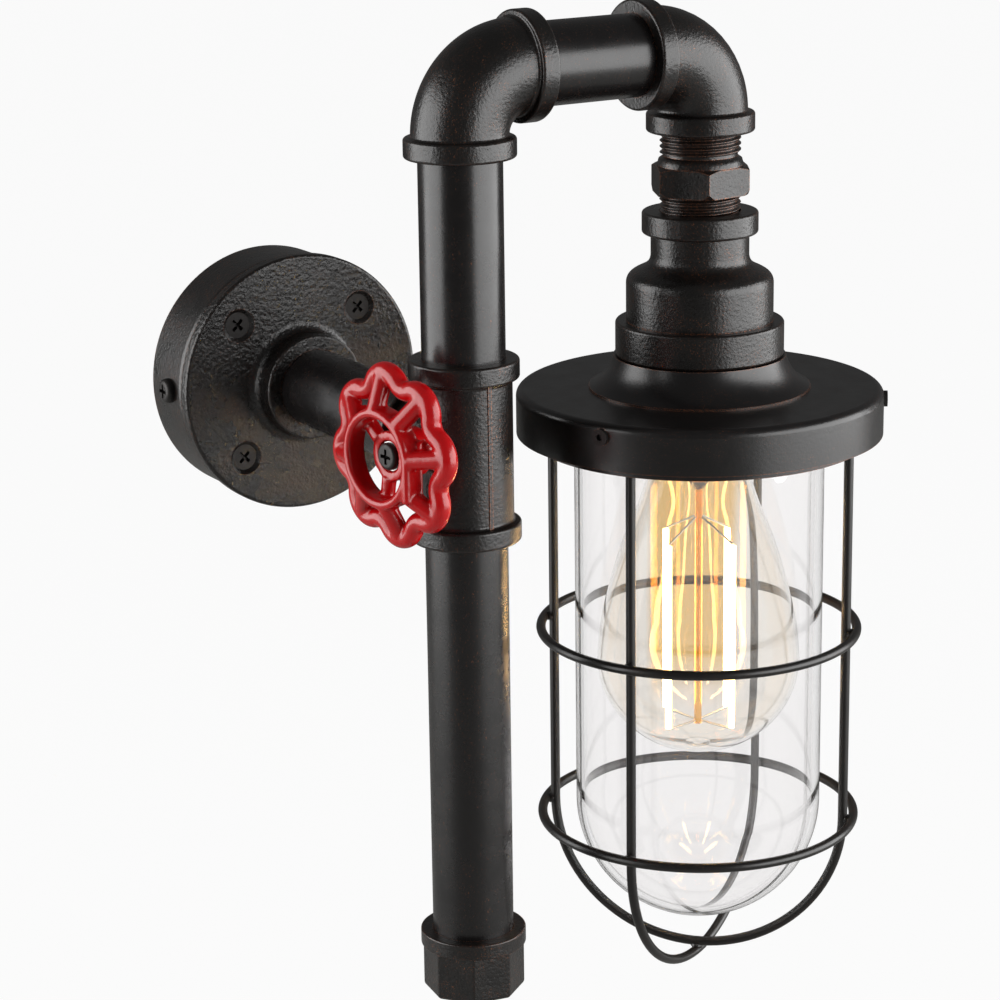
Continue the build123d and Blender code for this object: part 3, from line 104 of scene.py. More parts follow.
def add_node(tree, kind, inputs=None, **settings):
    """Add a node, set its properties, and fill its inputs with values or with links."""
    node = tree.nodes.new(kind)
    for name, value in settings.items():
        setattr(node, name, value)
    for name, value in (inputs or {}).items():
        if isinstance(value, bpy.types.NodeSocket):
            tree.links.new(value, node.inputs[name])
        else:
            node.inputs[name].default_value = value
    return node


def new_material(name):
    """An empty node material and its output node."""
    material = bpy.data.materials.new(name)
    material.use_nodes = True
    material.node_tree.nodes.clear()
    return material, add_node(material.node_tree, "ShaderNodeOutputMaterial")


print("mid grey is", round(linear("#808080")[0], 3))

# %% [markdown]
# ## The soft boxes
#
# Black paint shows what stands round it more than its own colour. The photograph has a wide soft
# light in front on the right and a narrower one on the left behind, with the dark room between
# them, so two large area lamps do the same. They are hidden from the camera and from the view
# through glass, where they would be bright rectangles.

# %% The soft boxes
LIGHT_TARGET = Vector((45, -105, -30)) * MM


def soft_box(name, azimuth, elevation, distance, width, height, radiance):
    """Area lamp that faces the object; azimuth counts in degrees from the room side towards +X."""
    lamp = bpy.data.lights.new(name, "AREA")
    lamp.shape = "RECTANGLE"
    lamp.size, lamp.size_y = width, height
    lamp.energy = radiance * pi * width * height
    holder = bpy.data.objects.new(name, lamp)
    scene.collection.objects.link(holder)
    turn, rise = radians(azimuth), radians(elevation)
    away = Vector((sin(turn) * cos(rise), -cos(turn) * cos(rise), sin(rise)))
    holder.location = LIGHT_TARGET + away * distance
    holder.rotation_euler = away.to_track_quat("Z", "Y").to_euler()
    holder.visible_camera = holder.visible_transmission = False


soft_box("box_right", azimuth=44, elevation=7, distance=1.5, width=2.7, height=1.3, radiance=5.2)
soft_box("box_left", azimuth=-113, elevation=7, distance=1.4, width=1.6, height=1.3, radiance=4.6)

# %% [markdown]
# ## The room and the floor
#
# The white background could come from strong light, but that would bleach the object. Instead the
# world and the floor are white only for the rays that come from the camera or through glass. The
# object itself is lit by a dim room, and its gloss mirrors a room as dim, because the photographed
# paint mirrors a dark studio. The two have a value each, so that the gloss can be changed alone.
# The floor keeps a small share of its own matt shading, so that the object's shadow stays on it.

# %% The room and the floor
ROOM_LIGHT, ROOM_MIRRORED = 0.12, 0.12
FLOOR_WIDTH, FLOOR_HEIGHT, FLOOR_WHITE = 12, -0.42, 0.95


def seen_directly(tree, paths):
    """1 for a ray that comes from the camera or through glass, and 0 for any other."""
    return add_node(tree, "ShaderNodeMath", {
        0: paths.outputs["Is Camera Ray"], 1: paths.outputs["Is Transmission Ray"]}, operation="MAXIMUM")


world = bpy.data.worlds.new("studio")
scene.world = world
world.use_nodes = True
world.node_tree.nodes.clear()
room = world.node_tree
paths = add_node(room, "ShaderNodeLightPath")
seen = seen_directly(room, paths)
mirrored = add_node(room, "ShaderNodeMath", {0: paths.outputs["Is Glossy Ray"], 1: ROOM_MIRRORED},
                    operation="MULTIPLY")
shown = add_node(room, "ShaderNodeMath", {0: seen.outputs[0], 1: mirrored.outputs[0]}, operation="MAXIMUM")
strength = add_node(room, "ShaderNodeMath", {0: shown.outputs[0], 1: ROOM_LIGHT}, operation="MAXIMUM")
backdrop = add_node(room, "ShaderNodeBackground", {
    "Color": linear("#ffffff"), "Strength": strength.outputs[0]})
add_node(room, "ShaderNodeOutputWorld", {"Surface": backdrop.outputs[0]})

bpy.ops.mesh.primitive_plane_add(size=FLOOR_WIDTH, location=(0, 0, FLOOR_HEIGHT))
floor = bpy.context.object
floor.name = "floor"
paper, output = new_material("pale_paper_floor")
tree = paper.node_tree
paths = add_node(tree, "ShaderNodeLightPath")
seen = seen_directly(tree, paths)
share = add_node(tree, "ShaderNodeMath", {0: seen.outputs[0], 1: FLOOR_WHITE}, operation="MULTIPLY")
matt = add_node(tree, "ShaderNodeBsdfDiffuse", {"Color": linear("#a4a4a2")})
white = add_node(tree, "ShaderNodeEmission", {"Color": linear("#ffffff"), "Strength": 1.0})
blend = add_node(tree, "ShaderNodeMixShader", {
    0: share.outputs[0], 1: matt.outputs[0], 2: white.outputs[0]})
tree.links.new(blend.outputs[0], output.inputs["Surface"])
floor.data.materials.append(paper)

# %% [markdown]
# ## Black paint, rubbed to copper
#
# The castings are sprayed black and then rubbed, so that a copper undercoat shows through: as fine
# dashes and specks in cloudy areas, and along the edges. A painted picture could do that, but noise
# at the size of the specks works on every piece at once, and a bevel node finds the edges by itself.
# The finest real specks are too small for the render, so all are drawn at 0.3 mm and more. One
# function makes the finish, and each kind of piece gets its own grain: sand-cast iron is bumpy,
# which breaks up its highlights, and drawn pipe and spun steel are smooth, which draws them out.
# Paint is a dielectric, so metallic stays 0 but for the copper, and a roughness near 0.3 gives its
# satin gloss.

# %% Black paint
CLOUD_SIZE, EDGE_WIDTH = 9 * MM, 0.7 * MM
COPPER_METALLIC = 0.55


def rubbed_black(name, black, copper, speck_mm, wear, grit_mm, grit_depth_mm, gloss, stretch=(1, 1, 1)):
    """Black paint over copper: wear sets how many specks show, grit the bumps, gloss the roughness.

    A stretch below 1 on an axis draws the specks out along it.
    """
    material, output = new_material(name)
    tree = material.node_tree
    place = add_node(tree, "ShaderNodeTexCoord")
    drawn = add_node(tree, "ShaderNodeMapping", {"Vector": place.outputs["Object"], "Scale": stretch})
    specks = add_node(tree, "ShaderNodeTexNoise", {
        "Vector": drawn.outputs[0], "Scale": 1 / (speck_mm * MM), "Detail": 4, "Roughness": 0.65})
    clouds = add_node(tree, "ShaderNodeTexNoise", {
        "Vector": place.outputs["Object"], "Scale": 1 / CLOUD_SIZE, "Detail": 3, "Roughness": 0.6})
    speck_mask = add_node(tree, "ShaderNodeMapRange", {
        "Value": specks.outputs["Fac"], "From Min": 0.70 - wear * 0.2, "From Max": 0.78 - wear * 0.2})
    cloud_mask = add_node(tree, "ShaderNodeMapRange", {
        "Value": clouds.outputs["Fac"], "From Min": 0.42, "From Max": 0.62})
    rubbed = add_node(tree, "ShaderNodeMath", {0: speck_mask.outputs[0], 1: cloud_mask.outputs[0]},
                      operation="MULTIPLY")

    # An edge is where the rounded normal of the bevel node turns away from the flat one.
    flat = add_node(tree, "ShaderNodeNewGeometry")
    rounded = add_node(tree, "ShaderNodeBevel", {"Radius": EDGE_WIDTH}, samples=4)
    alike = add_node(tree, "ShaderNodeVectorMath", {0: flat.outputs["Normal"], 1: rounded.outputs[0]},
                     operation="DOT_PRODUCT")
    edges = add_node(tree, "ShaderNodeMapRange", {
        "Value": alike.outputs["Value"], "From Min": 0.99, "From Max": 0.85, "To Max": 0.5 + wear})
    fine = add_node(tree, "ShaderNodeMath", {0: specks.outputs["Fac"], 1: 0.5}, operation="GREATER_THAN")
    edge_mask = add_node(tree, "ShaderNodeMath", {0: edges.outputs[0], 1: fine.outputs[0]},
                         operation="MULTIPLY")
    worn = add_node(tree, "ShaderNodeMath", {0: rubbed.outputs[0], 1: edge_mask.outputs[0]},
                    operation="MAXIMUM")

    colour = add_node(tree, "ShaderNodeMix", {
        "Factor": worn.outputs[0], 6: linear(black), 7: linear(copper)}, data_type="RGBA")
    rough = add_node(tree, "ShaderNodeMapRange", {
        "Value": clouds.outputs["Fac"], "To Min": gloss - 0.07, "To Max": gloss + 0.09})
    metal = add_node(tree, "ShaderNodeMath", {0: worn.outputs[0], 1: COPPER_METALLIC}, operation="MULTIPLY")
    grit = add_node(tree, "ShaderNodeTexNoise", {
        "Vector": place.outputs["Object"], "Scale": 1 / (grit_mm * MM), "Detail": 3, "Roughness": 0.55})
    bumps = add_node(tree, "ShaderNodeBump", {
        "Height": grit.outputs["Fac"], "Strength": 1.0, "Distance": grit_depth_mm * MM})
    paint = add_node(tree, "ShaderNodeBsdfPrincipled", {
        "Base Color": colour.outputs[2], "Metallic": metal.outputs[0], "Roughness": rough.outputs[0],
        "Normal": bumps.outputs[0]})
    tree.links.new(paint.outputs[0], output.inputs["Surface"])
    return material


cast_black = rubbed_black("rubbed_black_cast_iron", "#100e0d", "#85543a", speck_mm=0.42, wear=0.52,
                          grit_mm=1.0, grit_depth_mm=0.14, gloss=0.28)
flange_black = rubbed_black("rubbed_black_flange_iron", "#100e0d", "#6f4a37", speck_mm=0.5, wear=0.55,
                            grit_mm=1.3, grit_depth_mm=0.40, gloss=0.27)
pipe_black = rubbed_black("rubbed_black_steel_pipe", "#0f0d0d", "#85563e", speck_mm=0.38, wear=0.38,
                          grit_mm=0.8, grit_depth_mm=0.02, gloss=0.26, stretch=(1, 1, 0.5))
shade_black = rubbed_black("rubbed_black_spun_steel", "#100e0e", "#85563e", speck_mm=0.35, wear=0.38,
                           grit_mm=1.0, grit_depth_mm=0.03, gloss=0.30)
wire_black = rubbed_black("rubbed_black_cage_wire", "#12100f", "#84583e", speck_mm=0.3, wear=0.35,
                          grit_mm=0.8, grit_depth_mm=0.02, gloss=0.32)
print("black paints:", [m.name for m in bpy.data.materials if m.name.startswith("rubbed_black")])

# %% [markdown]
# ## The red enamel of the hand wheel
#
# A cast wheel is dipped in signal red gloss enamel. The thick coat rounds everything, so a soft
# ripple a few millimetres long breaks the highlights, and the colour under them stays saturated.

# %% Red enamel
ENAMEL_REDS = ("#a00409", "#b0080d")
red_enamel, output = new_material("signal_red_gloss_enamel")
tree = red_enamel.node_tree
place = add_node(tree, "ShaderNodeTexCoord")
ripple = add_node(tree, "ShaderNodeTexNoise", {
    "Vector": place.outputs["Object"], "Scale": 1 / (3.5 * MM), "Detail": 2})
runs = add_node(tree, "ShaderNodeBump", {
    "Height": ripple.outputs["Fac"], "Strength": 1.0, "Distance": 0.10 * MM})
tone = add_node(tree, "ShaderNodeMix", {
    "Factor": ripple.outputs["Fac"], 6: linear(ENAMEL_REDS[0]), 7: linear(ENAMEL_REDS[1])},
    data_type="RGBA")
enamel = add_node(tree, "ShaderNodeBsdfPrincipled", {
    "Base Color": tone.outputs[2], "Roughness": 0.22, "IOR": 1.5, "Normal": runs.outputs[0]})
tree.links.new(enamel.outputs[0], output.inputs["Surface"])
print("the wheel's reds are", ENAMEL_REDS)

# %% [markdown]
# ## Metals, plastics, rubber and porcelain
#
# These small parts need one shader each and a faint grain. Metals keep the default IOR. Bare and
# plated ones set metallic to 1, and the blackened screws, which wear an oxide skin, to 0.6.
# Everything else is a dielectric at its own IOR: glazed porcelain and black glass are smooth and
# mirror the lamps, while nylon, cable sheath and rubber are moulded matt and scatter them.


# %% The small parts' finishes
def plain_finish(name, colour, roughness, metallic=0.0, ior=1.5, grain_mm=0.6, depth_mm=0.01):
    """A dielectric or a metal with a faint grain and a slight change of gloss."""
    material, output = new_material(name)
    tree = material.node_tree
    place = add_node(tree, "ShaderNodeTexCoord")
    grain = add_node(tree, "ShaderNodeTexNoise", {
        "Vector": place.outputs["Object"], "Scale": 1 / (grain_mm * MM), "Detail": 3})
    relief = add_node(tree, "ShaderNodeBump", {
        "Height": grain.outputs["Fac"], "Strength": 1.0, "Distance": depth_mm * MM})
    rough = add_node(tree, "ShaderNodeMapRange", {
        "Value": grain.outputs["Fac"], "To Min": roughness - 0.05, "To Max": roughness + 0.05})
    surface = add_node(tree, "ShaderNodeBsdfPrincipled", {
        "Base Color": linear(colour), "Roughness": rough.outputs[0], "Metallic": metallic,
        "Normal": relief.outputs[0]})
    if metallic == 0:
        surface.inputs["IOR"].default_value = ior
    tree.links.new(surface.outputs[0], output.inputs["Surface"])
    return material


blackened_steel = plain_finish("blackened_steel_screws", "#2a2827", 0.42, metallic=0.6)
zinc_steel = plain_finish("zinc_plated_steel", "#b9bab8", 0.35, metallic=1.0)
brass = plain_finish("drawn_brass", "#c79a4a", 0.28, metallic=1.0)
cap_nickel = plain_finish("nickel_plated_bulb_cap", "#c9c5bd", 0.24, metallic=1.0)
porcelain = plain_finish("glazed_porcelain", "#e6e3dc", 0.15, ior=1.52, grain_mm=2.5)
terminal_nylon = plain_finish("white_nylon", "#e4e1da", 0.5, ior=1.53)
black_vitrite = plain_finish("black_glass_insulator", "#0c0c0e", 0.2, ior=1.55)
cable_pvc = plain_finish("black_pvc_sheath", "#1b1b1b", 0.5, ior=1.53)
seal_rubber = plain_finish("black_nitrile_rubber", "#111111", 0.7, ior=1.52, grain_mm=0.4, depth_mm=0.02)
print("brass in linear colour:", [round(channel, 2) for channel in linear("#c79a4a")[:3]])

# %% [markdown]
# ## Clear glass
#
# The jar and the bulb are blown soda-lime glass, IOR 1.5, with hardly any colour of their own. A
# glass shader bends the light through both walls, and long faint waves make the reflections swim.
# Lamps would leave a black shadow behind glass, so shadow rays pass straight through, as most
# light does through thin glass. The bulb's stem glows from the strips round it, so its glass is
# amber and a little frosted, and shows as golden streaks in the bulb's wall.


# %% Clear glass
def clear_glass(name, tint, roughness):
    """Clear glass that lets the lamps' light through; returns the material and its glass node."""
    material, output = new_material(name)
    tree = material.node_tree
    place = add_node(tree, "ShaderNodeTexCoord")
    waves = add_node(tree, "ShaderNodeTexNoise", {
        "Vector": place.outputs["Object"], "Scale": 1 / (30 * MM), "Detail": 1})
    skin = add_node(tree, "ShaderNodeBump", {
        "Height": waves.outputs["Fac"], "Strength": 1.0, "Distance": 0.08 * MM})
    glass = add_node(tree, "ShaderNodeBsdfPrincipled", {
        "Base Color": linear(tint), "Roughness": roughness, "IOR": 1.5, "Transmission Weight": 1.0,
        "Normal": skin.outputs[0]})
    clear = add_node(tree, "ShaderNodeBsdfTransparent", {"Color": linear("#f4f6f6")})
    paths = add_node(tree, "ShaderNodeLightPath")
    through = add_node(tree, "ShaderNodeMath", {
        0: paths.outputs["Is Shadow Ray"], 1: paths.outputs["Is Diffuse Ray"]}, operation="MAXIMUM")
    mixed = add_node(tree, "ShaderNodeMixShader", {
        0: through.outputs[0], 1: glass.outputs[0], 2: clear.outputs[0]})
    tree.links.new(mixed.outputs[0], output.inputs["Surface"])
    return material, glass


BULB_TINT = "#fdfbf7"
jar_glass, _ = clear_glass("clear_jar_glass", "#fbfafa", 0.0)
warm_stem, _ = clear_glass("glowing_stem_glass", "#ffc46a", 0.12)
bulb_clear, bulb_pane = clear_glass("clear_bulb_glass", BULB_TINT, 0.0)
print("glass:", [m.name for m in (jar_glass, warm_stem, bulb_clear)])

# %% [markdown]
# ## The glow on the bulb's wall
#
# The strips throw amber light on the bulb's wall behind them. Light bounced between glass walls
# takes very many samples, so the wall takes that colour itself, in a soft upright band behind the
# strips. The band is found in the object's own space: how far a point lies to the side of the
# lamp's axis, how far behind it, and how high. Its edges fade, so that no border shows.

# %% The glow on the bulb's wall
GLOW_TURN = radians(31)
GLOW_HALF_WIDTH, GLOW_FADE = 11.5 * MM, 5 * MM
GLOW_NEAR, GLOW_FAR = 2 * MM, 9 * MM
GLOW_FOOT, GLOW_RISE = -108 * MM, 22 * MM
tree = bulb_clear.node_tree
place = add_node(tree, "ShaderNodeTexCoord")
from_axis = add_node(tree, "ShaderNodeVectorMath", {0: place.outputs["Object"], 1: LAMP},
                     operation="SUBTRACT")
sideways = add_node(tree, "ShaderNodeVectorMath", {
    0: from_axis.outputs[0], 1: (cos(GLOW_TURN), -sin(GLOW_TURN), 0)}, operation="DOT_PRODUCT")
behind = add_node(tree, "ShaderNodeVectorMath", {
    0: from_axis.outputs[0], 1: (sin(GLOW_TURN), cos(GLOW_TURN), 0)}, operation="DOT_PRODUCT")
offset = add_node(tree, "ShaderNodeMath", {0: sideways.outputs["Value"]}, operation="ABSOLUTE")
level = add_node(tree, "ShaderNodeSeparateXYZ", {0: from_axis.outputs[0]})
across = add_node(tree, "ShaderNodeMapRange", {
    "Value": offset.outputs[0], "From Min": GLOW_HALF_WIDTH + GLOW_FADE, "From Max": GLOW_HALF_WIDTH},
    interpolation_type="SMOOTHSTEP")
far = add_node(tree, "ShaderNodeMapRange", {
    "Value": behind.outputs["Value"], "From Min": GLOW_NEAR, "From Max": GLOW_FAR},
    interpolation_type="SMOOTHSTEP")
upper = add_node(tree, "ShaderNodeMapRange", {
    "Value": level.outputs["Z"], "From Min": GLOW_FOOT, "From Max": GLOW_FOOT + GLOW_RISE},
    interpolation_type="SMOOTHSTEP")
band = add_node(tree, "ShaderNodeMath", {0: across.outputs[0], 1: far.outputs[0]}, operation="MULTIPLY")
glow = add_node(tree, "ShaderNodeMath", {0: band.outputs[0], 1: upper.outputs[0]}, operation="MULTIPLY")
amber = add_node(tree, "ShaderNodeMix", {
    "Factor": glow.outputs[0], 6: linear(BULB_TINT), 7: linear("#f3cd88")}, data_type="RGBA")
tree.links.new(amber.outputs[2], bulb_pane.inputs["Base Color"])
print("the glow is", round(2 * GLOW_HALF_WIDTH / MM), "mm wide")

# %% [markdown]
# ## The lit strips
#
# A filament bulb of today has strips of small diodes under a yellow phosphor, which glow warm
# white. The diodes sit about a millimetre apart, so the light along a strip is slightly uneven.

# %% The lit strips
DIODE_SPACING, DIMMEST, BRIGHTEST = 1.2 * MM, 18.0, 26.0
lit_phosphor, output = new_material("lit_phosphor_filament")
tree = lit_phosphor.node_tree
place = add_node(tree, "ShaderNodeTexCoord")
dots = add_node(tree, "ShaderNodeTexNoise", {
    "Vector": place.outputs["Object"], "Scale": 1 / DIODE_SPACING, "Detail": 1})
heat = add_node(tree, "ShaderNodeMapRange", {
    "Value": dots.outputs["Fac"], "To Min": DIMMEST, "To Max": BRIGHTEST})
glowing = add_node(tree, "ShaderNodeEmission", {"Color": linear("#ffcf88"), "Strength": heat.outputs[0]})
tree.links.new(glowing.outputs[0], output.inputs["Surface"])
print("strips glow at", DIMMEST, "to", BRIGHTEST)

# %% [markdown]
# ## Finishes on the CAD pieces
#
# Each solid that already has the right shape only needs its finish. The solids that a new mesh
# stands for below get theirs too, so that no node is left without.

# %% Finishes on the CAD pieces
finishes = {
    cast_black: ["tee", "elbow_left", "elbow_right", "end_cap", "reducer", "hex_nipple", "wall_box"],
    flange_black: ["wall_flange"],
    pipe_black: ["wall_nipple", "upper_pipe", "lower_pipe", "arm_pipe"],
    shade_black: ["shade_cap", "cage_collar"],
    wire_black: ["cage_hoop_lower", "cage_hoop_upper", "cage_ring_upper", "cage_ring_lower"],
    red_enamel: ["hand_wheel"],
    blackened_steel: ["box_screws", "flange_screws", "cap_screws", "wheel_screw"],
    zinc_steel: ["mounting_bracket", "flange_nuts", "wheel_spindle", "wheel_washer", "bulb_supports"],
    brass: ["earth_screw", "terminal_screws", "lampholder_screws", "lampholder_shell",
            "lampholder_contact"],
    cap_nickel: ["bulb_cap", "bulb_tip"],
    porcelain: ["lampholder_body"],
    terminal_nylon: ["terminal_block"],
    black_vitrite: ["bulb_insulator"],
    cable_pvc: ["lamp_cable"],
    seal_rubber: ["jar_gasket"],
    jar_glass: ["glass_jar"],
    bulb_clear: ["bulb_glass"],
    warm_stem: ["bulb_stem"],
    lit_phosphor: ["bulb_filaments"],
}
for material, names in finishes.items():
    for name in names:
        mesh = nodes[name].data
        mesh.materials.clear()
        mesh.materials.append(material)
print("finished", sum(len(names) for names in finishes.values()), "of", len(nodes), "nodes")

# %% [markdown]
# ## New pieces
#
# A new piece may stand for a solid. It then keeps the solid's place and size, rides on the same
# body and takes the same finish. Smooth shading is switched on for all of them, because they are
# fine meshes of round things.


# %% Placing a new piece
def put(name, mesh, material, body, stands_for=()):
    """Link a mesh as a smooth piece of the lamp, riding on a body, and hide the nodes it stands for."""
    piece = bpy.data.objects.new(name, mesh)
    scene.collection.objects.link(piece)
    mesh.materials.clear()
    mesh.materials.append(material)
    for face in mesh.polygons:
        face.use_smooth = True
    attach(piece, body)
    if stands_for:
        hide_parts(*stands_for)
    return piece


# %% [markdown]
# ## The cast wheel
#
# A casting has no sharp inner corners: spokes, ring and hub flow into each other. Filleting forty
# joints in CAD is slow. A voxel remesh turns the solid into small even cells instead, and a few
# rounds of smoothing melt the joints together.

# %% The cast wheel
wheel = put("cast_hand_wheel", nodes["hand_wheel"].data.copy(), red_enamel, "wheel",
            ["hand_wheel"])
cells = wheel.modifiers.new("even_cells", "REMESH")
cells.mode = "VOXEL"
cells.voxel_size = 0.4 * MM
cells.use_smooth_shade = True
melt = wheel.modifiers.new("melted_joints", "SMOOTH")
melt.factor = 0.5
melt.iterations = 8
print("wheel cells of", round(cells.voxel_size / MM, 2), "mm")

# %% [markdown]
# ## Blown glass
#
# Clear glass shows every facet, so the jar and the bulb are turned again from their outlines with
# many more steps. The outline is closed round both walls, because glass bends light at each.

# %% Turning a mesh
SAME_POINT = 0.0004 * MM


def on_circle(radius, share_of_turn, height):
    """Point round the lamp's axis, from a radius and a height in millimetres."""
    swing = 2 * pi * share_of_turn
    return (LAMP_X + radius * cos(swing)) * MM, (LAMP_Y + radius * sin(swing)) * MM, height * MM


def lathe(outline, steps=160):
    """Mesh of a closed outline, in millimetres of radius and height, turned round the lamp's axis."""
    count = len(outline)
    vertices, faces = [], []
    for turn in range(steps):
        vertices += [on_circle(radius, turn / steps, height) for radius, height in outline]
        here, there = turn * count, (turn + 1) % steps * count
        for point in range(count):
            follow = (point + 1) % count
            faces.append((here + point, there + point, there + follow, here + follow))
    mesh = bpy.data.meshes.new("turned")
    mesh.from_pydata(vertices, [], faces)
    shape = bmesh.new()
    shape.from_mesh(mesh)
    bmesh.ops.remove_doubles(shape, verts=shape.verts, dist=SAME_POINT)
    bmesh.ops.recalc_face_normals(shape, faces=shape.faces)
    shape.to_mesh(mesh)
    shape.free()
    return mesh


def arc(centre_height, radius_across, radius_down, start, end, steps):
    """Points of an ellipse round the axis, from one angle to another, in degrees."""
    angles = [radians(start + (end - start) * step / steps) for step in range(steps + 1)]
    return [(radius_across * cos(angle), centre_height + radius_down * sin(angle)) for angle in angles]


# %% [markdown]
# The jar is a straight tube with a round bottom and a flat rim that the collar clamps. The tube's
# outline gets a point every few millimetres, so that its faces stay nearly square.

# %% The jar
JAR_R, JAR_INNER_R, JAR_DOME = 39.1, 36.7, -128.0
RIM_R, RIM_TOP, RIM_FOOT = 45.0, -2.5, -6.5
TUBE_ROW, DOME_STEPS = 6, 40
jar_outline = ([(JAR_INNER_R, RIM_TOP), (RIM_R, RIM_TOP), (RIM_R, RIM_FOOT), (JAR_R, RIM_FOOT)]
               + [(JAR_R, RIM_FOOT - TUBE_ROW * row) for row in range(1, 20)]
               + arc(JAR_DOME, JAR_R, JAR_R, 0, -90, DOME_STEPS)
               + arc(JAR_DOME, JAR_INNER_R, JAR_INNER_R, -90, 0, DOME_STEPS)
               + [(JAR_INNER_R, JAR_DOME + TUBE_ROW * row) for row in range(1, 21)])
jar = put("blown_jar", lathe(jar_outline), jar_glass, "guard", ["glass_jar"])
print("jar faces", len(jar.data.polygons))

# %% [markdown]
# The bulb is a teardrop with a short neck and the sealed tip of its pump tube at the bottom. Its
# outline is drawn through a few measured points with a smooth curve, which is what a glass
# blower's mould gives.


# %% The bulb's glass
def smooth_line(points, steps):
    """Catmull-Rom curve through points, so that few measured points give an even outline."""
    line = []
    padded = [points[0]] + points + [points[-1]]
    for place in range(1, len(padded) - 2):
        a, b, c, d = [Vector(p) for p in padded[place - 1:place + 3]]
        for step in range(steps):
            t = step / steps
            spot = 0.5 * (2 * b + (c - a) * t + (2 * a - 5 * b + 4 * c - d) * t * t
                          + (3 * b - a - 3 * c + d) * t * t * t)
            line.append((spot.x, spot.y))
    return line + [tuple(points[-1])]


BULB_R, BULB_WIDEST, BULB_DEPTH, BULB_WALL = 32.2, -80.1, 31.0, 0.8
BOWL_STEPS = 36
shoulder = [(12.5, 6.6), (12.5, 0.6), (14.3, -12.0), (18.0, -26.8), (23.6, -41.0), (27.7, -54.3),
            (31.0, -68.0), (BULB_R, BULB_WIDEST)]
outer = smooth_line(shoulder, 8)
inner = [(radius - BULB_WALL, height) for radius, height in reversed(outer)]
bowl = arc(BULB_WIDEST, BULB_R, BULB_DEPTH, -3, -84, BOWL_STEPS)
pip = [(2.3, -112.0), (1.3, -112.9), (0, -113.2)]
inside = arc(BULB_WIDEST, BULB_R - BULB_WALL, BULB_DEPTH - BULB_WALL, -90, -3, BOWL_STEPS)
bulb = put("blown_bulb", lathe(outer + bowl + pip + inside + inner), bulb_clear, "bulb",
           ["bulb_glass"])
print("bulb faces", len(bulb.data.polygons))

# %% [markdown]
# ## Threads
#
# Between the elbow and the reducer the bare thread of the hexagon nipple shows. A pipe thread is
# a ridge that climbs round the neck, 1.8 mm a turn. It could be a bump, but its teeth show in the
# outline, so the neck becomes a mesh whose radius rises and falls with the height less the share
# of a turn. The bulb's cap has the same kind of thread, rounder and coarser.


# %% Threads
def thread(name, radius, depth, pitch, low, high, rounded, around=120, rows_a_turn=10):
    """Sleeve with a climbing thread round the lamp's axis, in millimetres."""
    rows = int((high - low) / pitch * rows_a_turn)
    vertices, faces = [], []
    for row in range(rows + 1):
        height = low + (high - low) * row / rows
        for turn in range(around):
            phase = (height / pitch - turn / around) % 1.0
            tooth = 0.5 - 0.5 * cos(2 * pi * phase) if rounded else 1 - abs(2 * phase - 1)
            vertices.append(on_circle(radius - depth * (1 - tooth), turn / around, height))
    for row in range(rows):
        for turn in range(around):
            here, follow = row * around + turn, row * around + (turn + 1) % around
            faces.append((here, follow, follow + around, here + around))
    mesh = bpy.data.meshes.new(name)
    mesh.from_pydata(vertices, [], faces)
    return mesh


print("a pipe thread of", round(25.4 / 1.8), "turns to the inch")

# %% [markdown]
# The solid nipple has plain necks at the thread's full width. Its copy gets them narrowed to the
# thread's core, and the two threads go round them.

# %% The nipple
NECK_R, NECK_CORE, NECK_PITCH, TOOTH = 12.5, 0.915, 1.8, 1.05
NEAR_ENOUGH = 0.1 * MM
nipple_hexagon = nodes["hex_nipple"].data.copy()
shape = bmesh.new()
shape.from_mesh(nipple_hexagon)
necks = [v for v in shape.verts if abs((v.co.xy - LAMP.xy).length - NECK_R * MM) < NEAR_ENOUGH]
for vertex in necks:
    away = (vertex.co.xy - LAMP.xy) * NECK_CORE
    vertex.co.x, vertex.co.y = LAMP.x + away.x, LAMP.y + away.y
shape.to_mesh(nipple_hexagon)
shape.free()
put("nipple_hexagon", nipple_hexagon, cast_black, "fixture", ["hex_nipple"])
for name, low, high in (("upper_neck_thread", 80.9, 91.0), ("lower_neck_thread", 59.0, 68.4)):
    put(name, thread(name, NECK_R, TOOTH, NECK_PITCH, low, high, rounded=False), cast_black, "fixture")
print("narrowed", len(necks), "points of the nipple's necks")

# %% The bulb's cap
CAP_R, CAP_TOOTH, CAP_PITCH, CAP_LOW, CAP_HIGH = 13.1, 0.9, 3.6, 2.0, 19.6
cap_thread = thread("bulb_cap_thread", CAP_R, CAP_TOOTH, CAP_PITCH, CAP_LOW, CAP_HIGH, rounded=True)
put("bulb_cap_thread", cap_thread, cap_nickel, "bulb")
print("the bulb's cap has", round((CAP_HIGH - CAP_LOW) / CAP_PITCH, 1), "turns of thread")

# %% [markdown]
# ## Welds on the cage
#
# Where a ring crosses a hoop the wires are spot-welded, and a small flattened bead joins them.
# Each bead is a round mesh squeezed to the wire's width and made slightly uneven by noise, which
# is read at another place for each bead so that no two are alike.

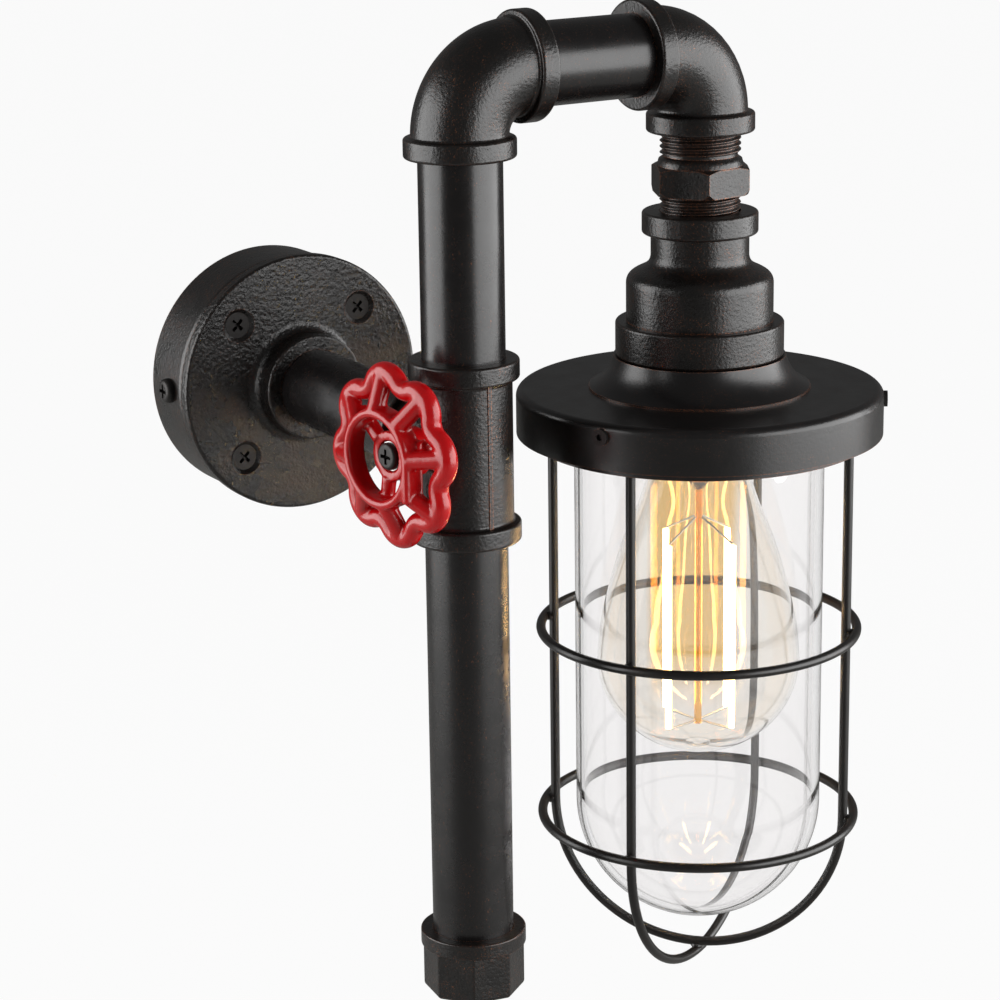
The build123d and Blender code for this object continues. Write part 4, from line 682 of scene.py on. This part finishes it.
# %% Welds
HOOP_TURNS = (61, 135, 241, 315)
RING_WELD_R, RING_HEIGHTS = 48.5, {"upper": -70.5, "lower": -133.0}
COLLAR_WELD_R, COLLAR_WELD_HEIGHT = 47.0, -9.6
CROSSING_HEIGHT = -180.9
SWELL, LUMPS, NEXT_BEAD = 0.18, 1.7, 900


def weld(name, spot, across, tall):
    """Put an uneven bead at a point; the point and the bead's half sizes are in metres."""
    mesh = bpy.data.meshes.new(name)
    shape = bmesh.new()
    bmesh.ops.create_icosphere(shape, subdivisions=3, radius=1)
    for vertex in shape.verts:
        swell = 1 + SWELL * noise.noise(vertex.co * LUMPS + spot * NEXT_BEAD)
        vertex.co = spot + Vector((vertex.co.x * across, vertex.co.y * across, vertex.co.z * tall)) * swell
    shape.to_mesh(mesh)
    shape.free()
    put(name, mesh, wire_black, "guard")


def round_lamp(turn, radius, height):
    """Point round the lamp's axis; turn counts from the room side towards -X, in degrees."""
    swing = radians(turn)
    return Vector((LAMP_X - radius * sin(swing), LAMP_Y - radius * cos(swing), height)) * MM


for number, turn in enumerate(HOOP_TURNS, start=1):
    for ring, height in RING_HEIGHTS.items():
        weld(f"weld_{ring}_{number}", round_lamp(turn, RING_WELD_R, height), 1.9 * MM, 1.5 * MM)
    weld(f"weld_collar_{number}", round_lamp(turn, COLLAR_WELD_R, COLLAR_WELD_HEIGHT), 2.2 * MM, 0.9 * MM)
weld("weld_bottom", Vector((LAMP_X, LAMP_Y, CROSSING_HEIGHT)) * MM, 2.0 * MM, 1.4 * MM)

# %% [markdown]
# ## The bulb's own light
#
# The lit strips colour what stands near them: the pipe, the tee and the inner cage wires get a
# warm edge. A small warm lamp in the middle of the strips gives that light without noise. Its own
# round body would show as a white blob in the glass, so only what it lights can be seen.

# %% The warm light
STRIP_MIDDLE = -71
warm = bpy.data.lights.new("warm_light", "POINT")
warm.energy = 0.35
warm.color = linear("#ffb765")[:3]
warm.shadow_soft_size = 12 * MM
warm_holder = bpy.data.objects.new("warm_light", warm)
scene.collection.objects.link(warm_holder)
warm_holder.location = LAMP + Vector((0, 0, STRIP_MIDDLE)) * MM
warm_holder.visible_camera = warm_holder.visible_glossy = warm_holder.visible_transmission = False
print("warm light of", round(warm.energy, 2), "W")
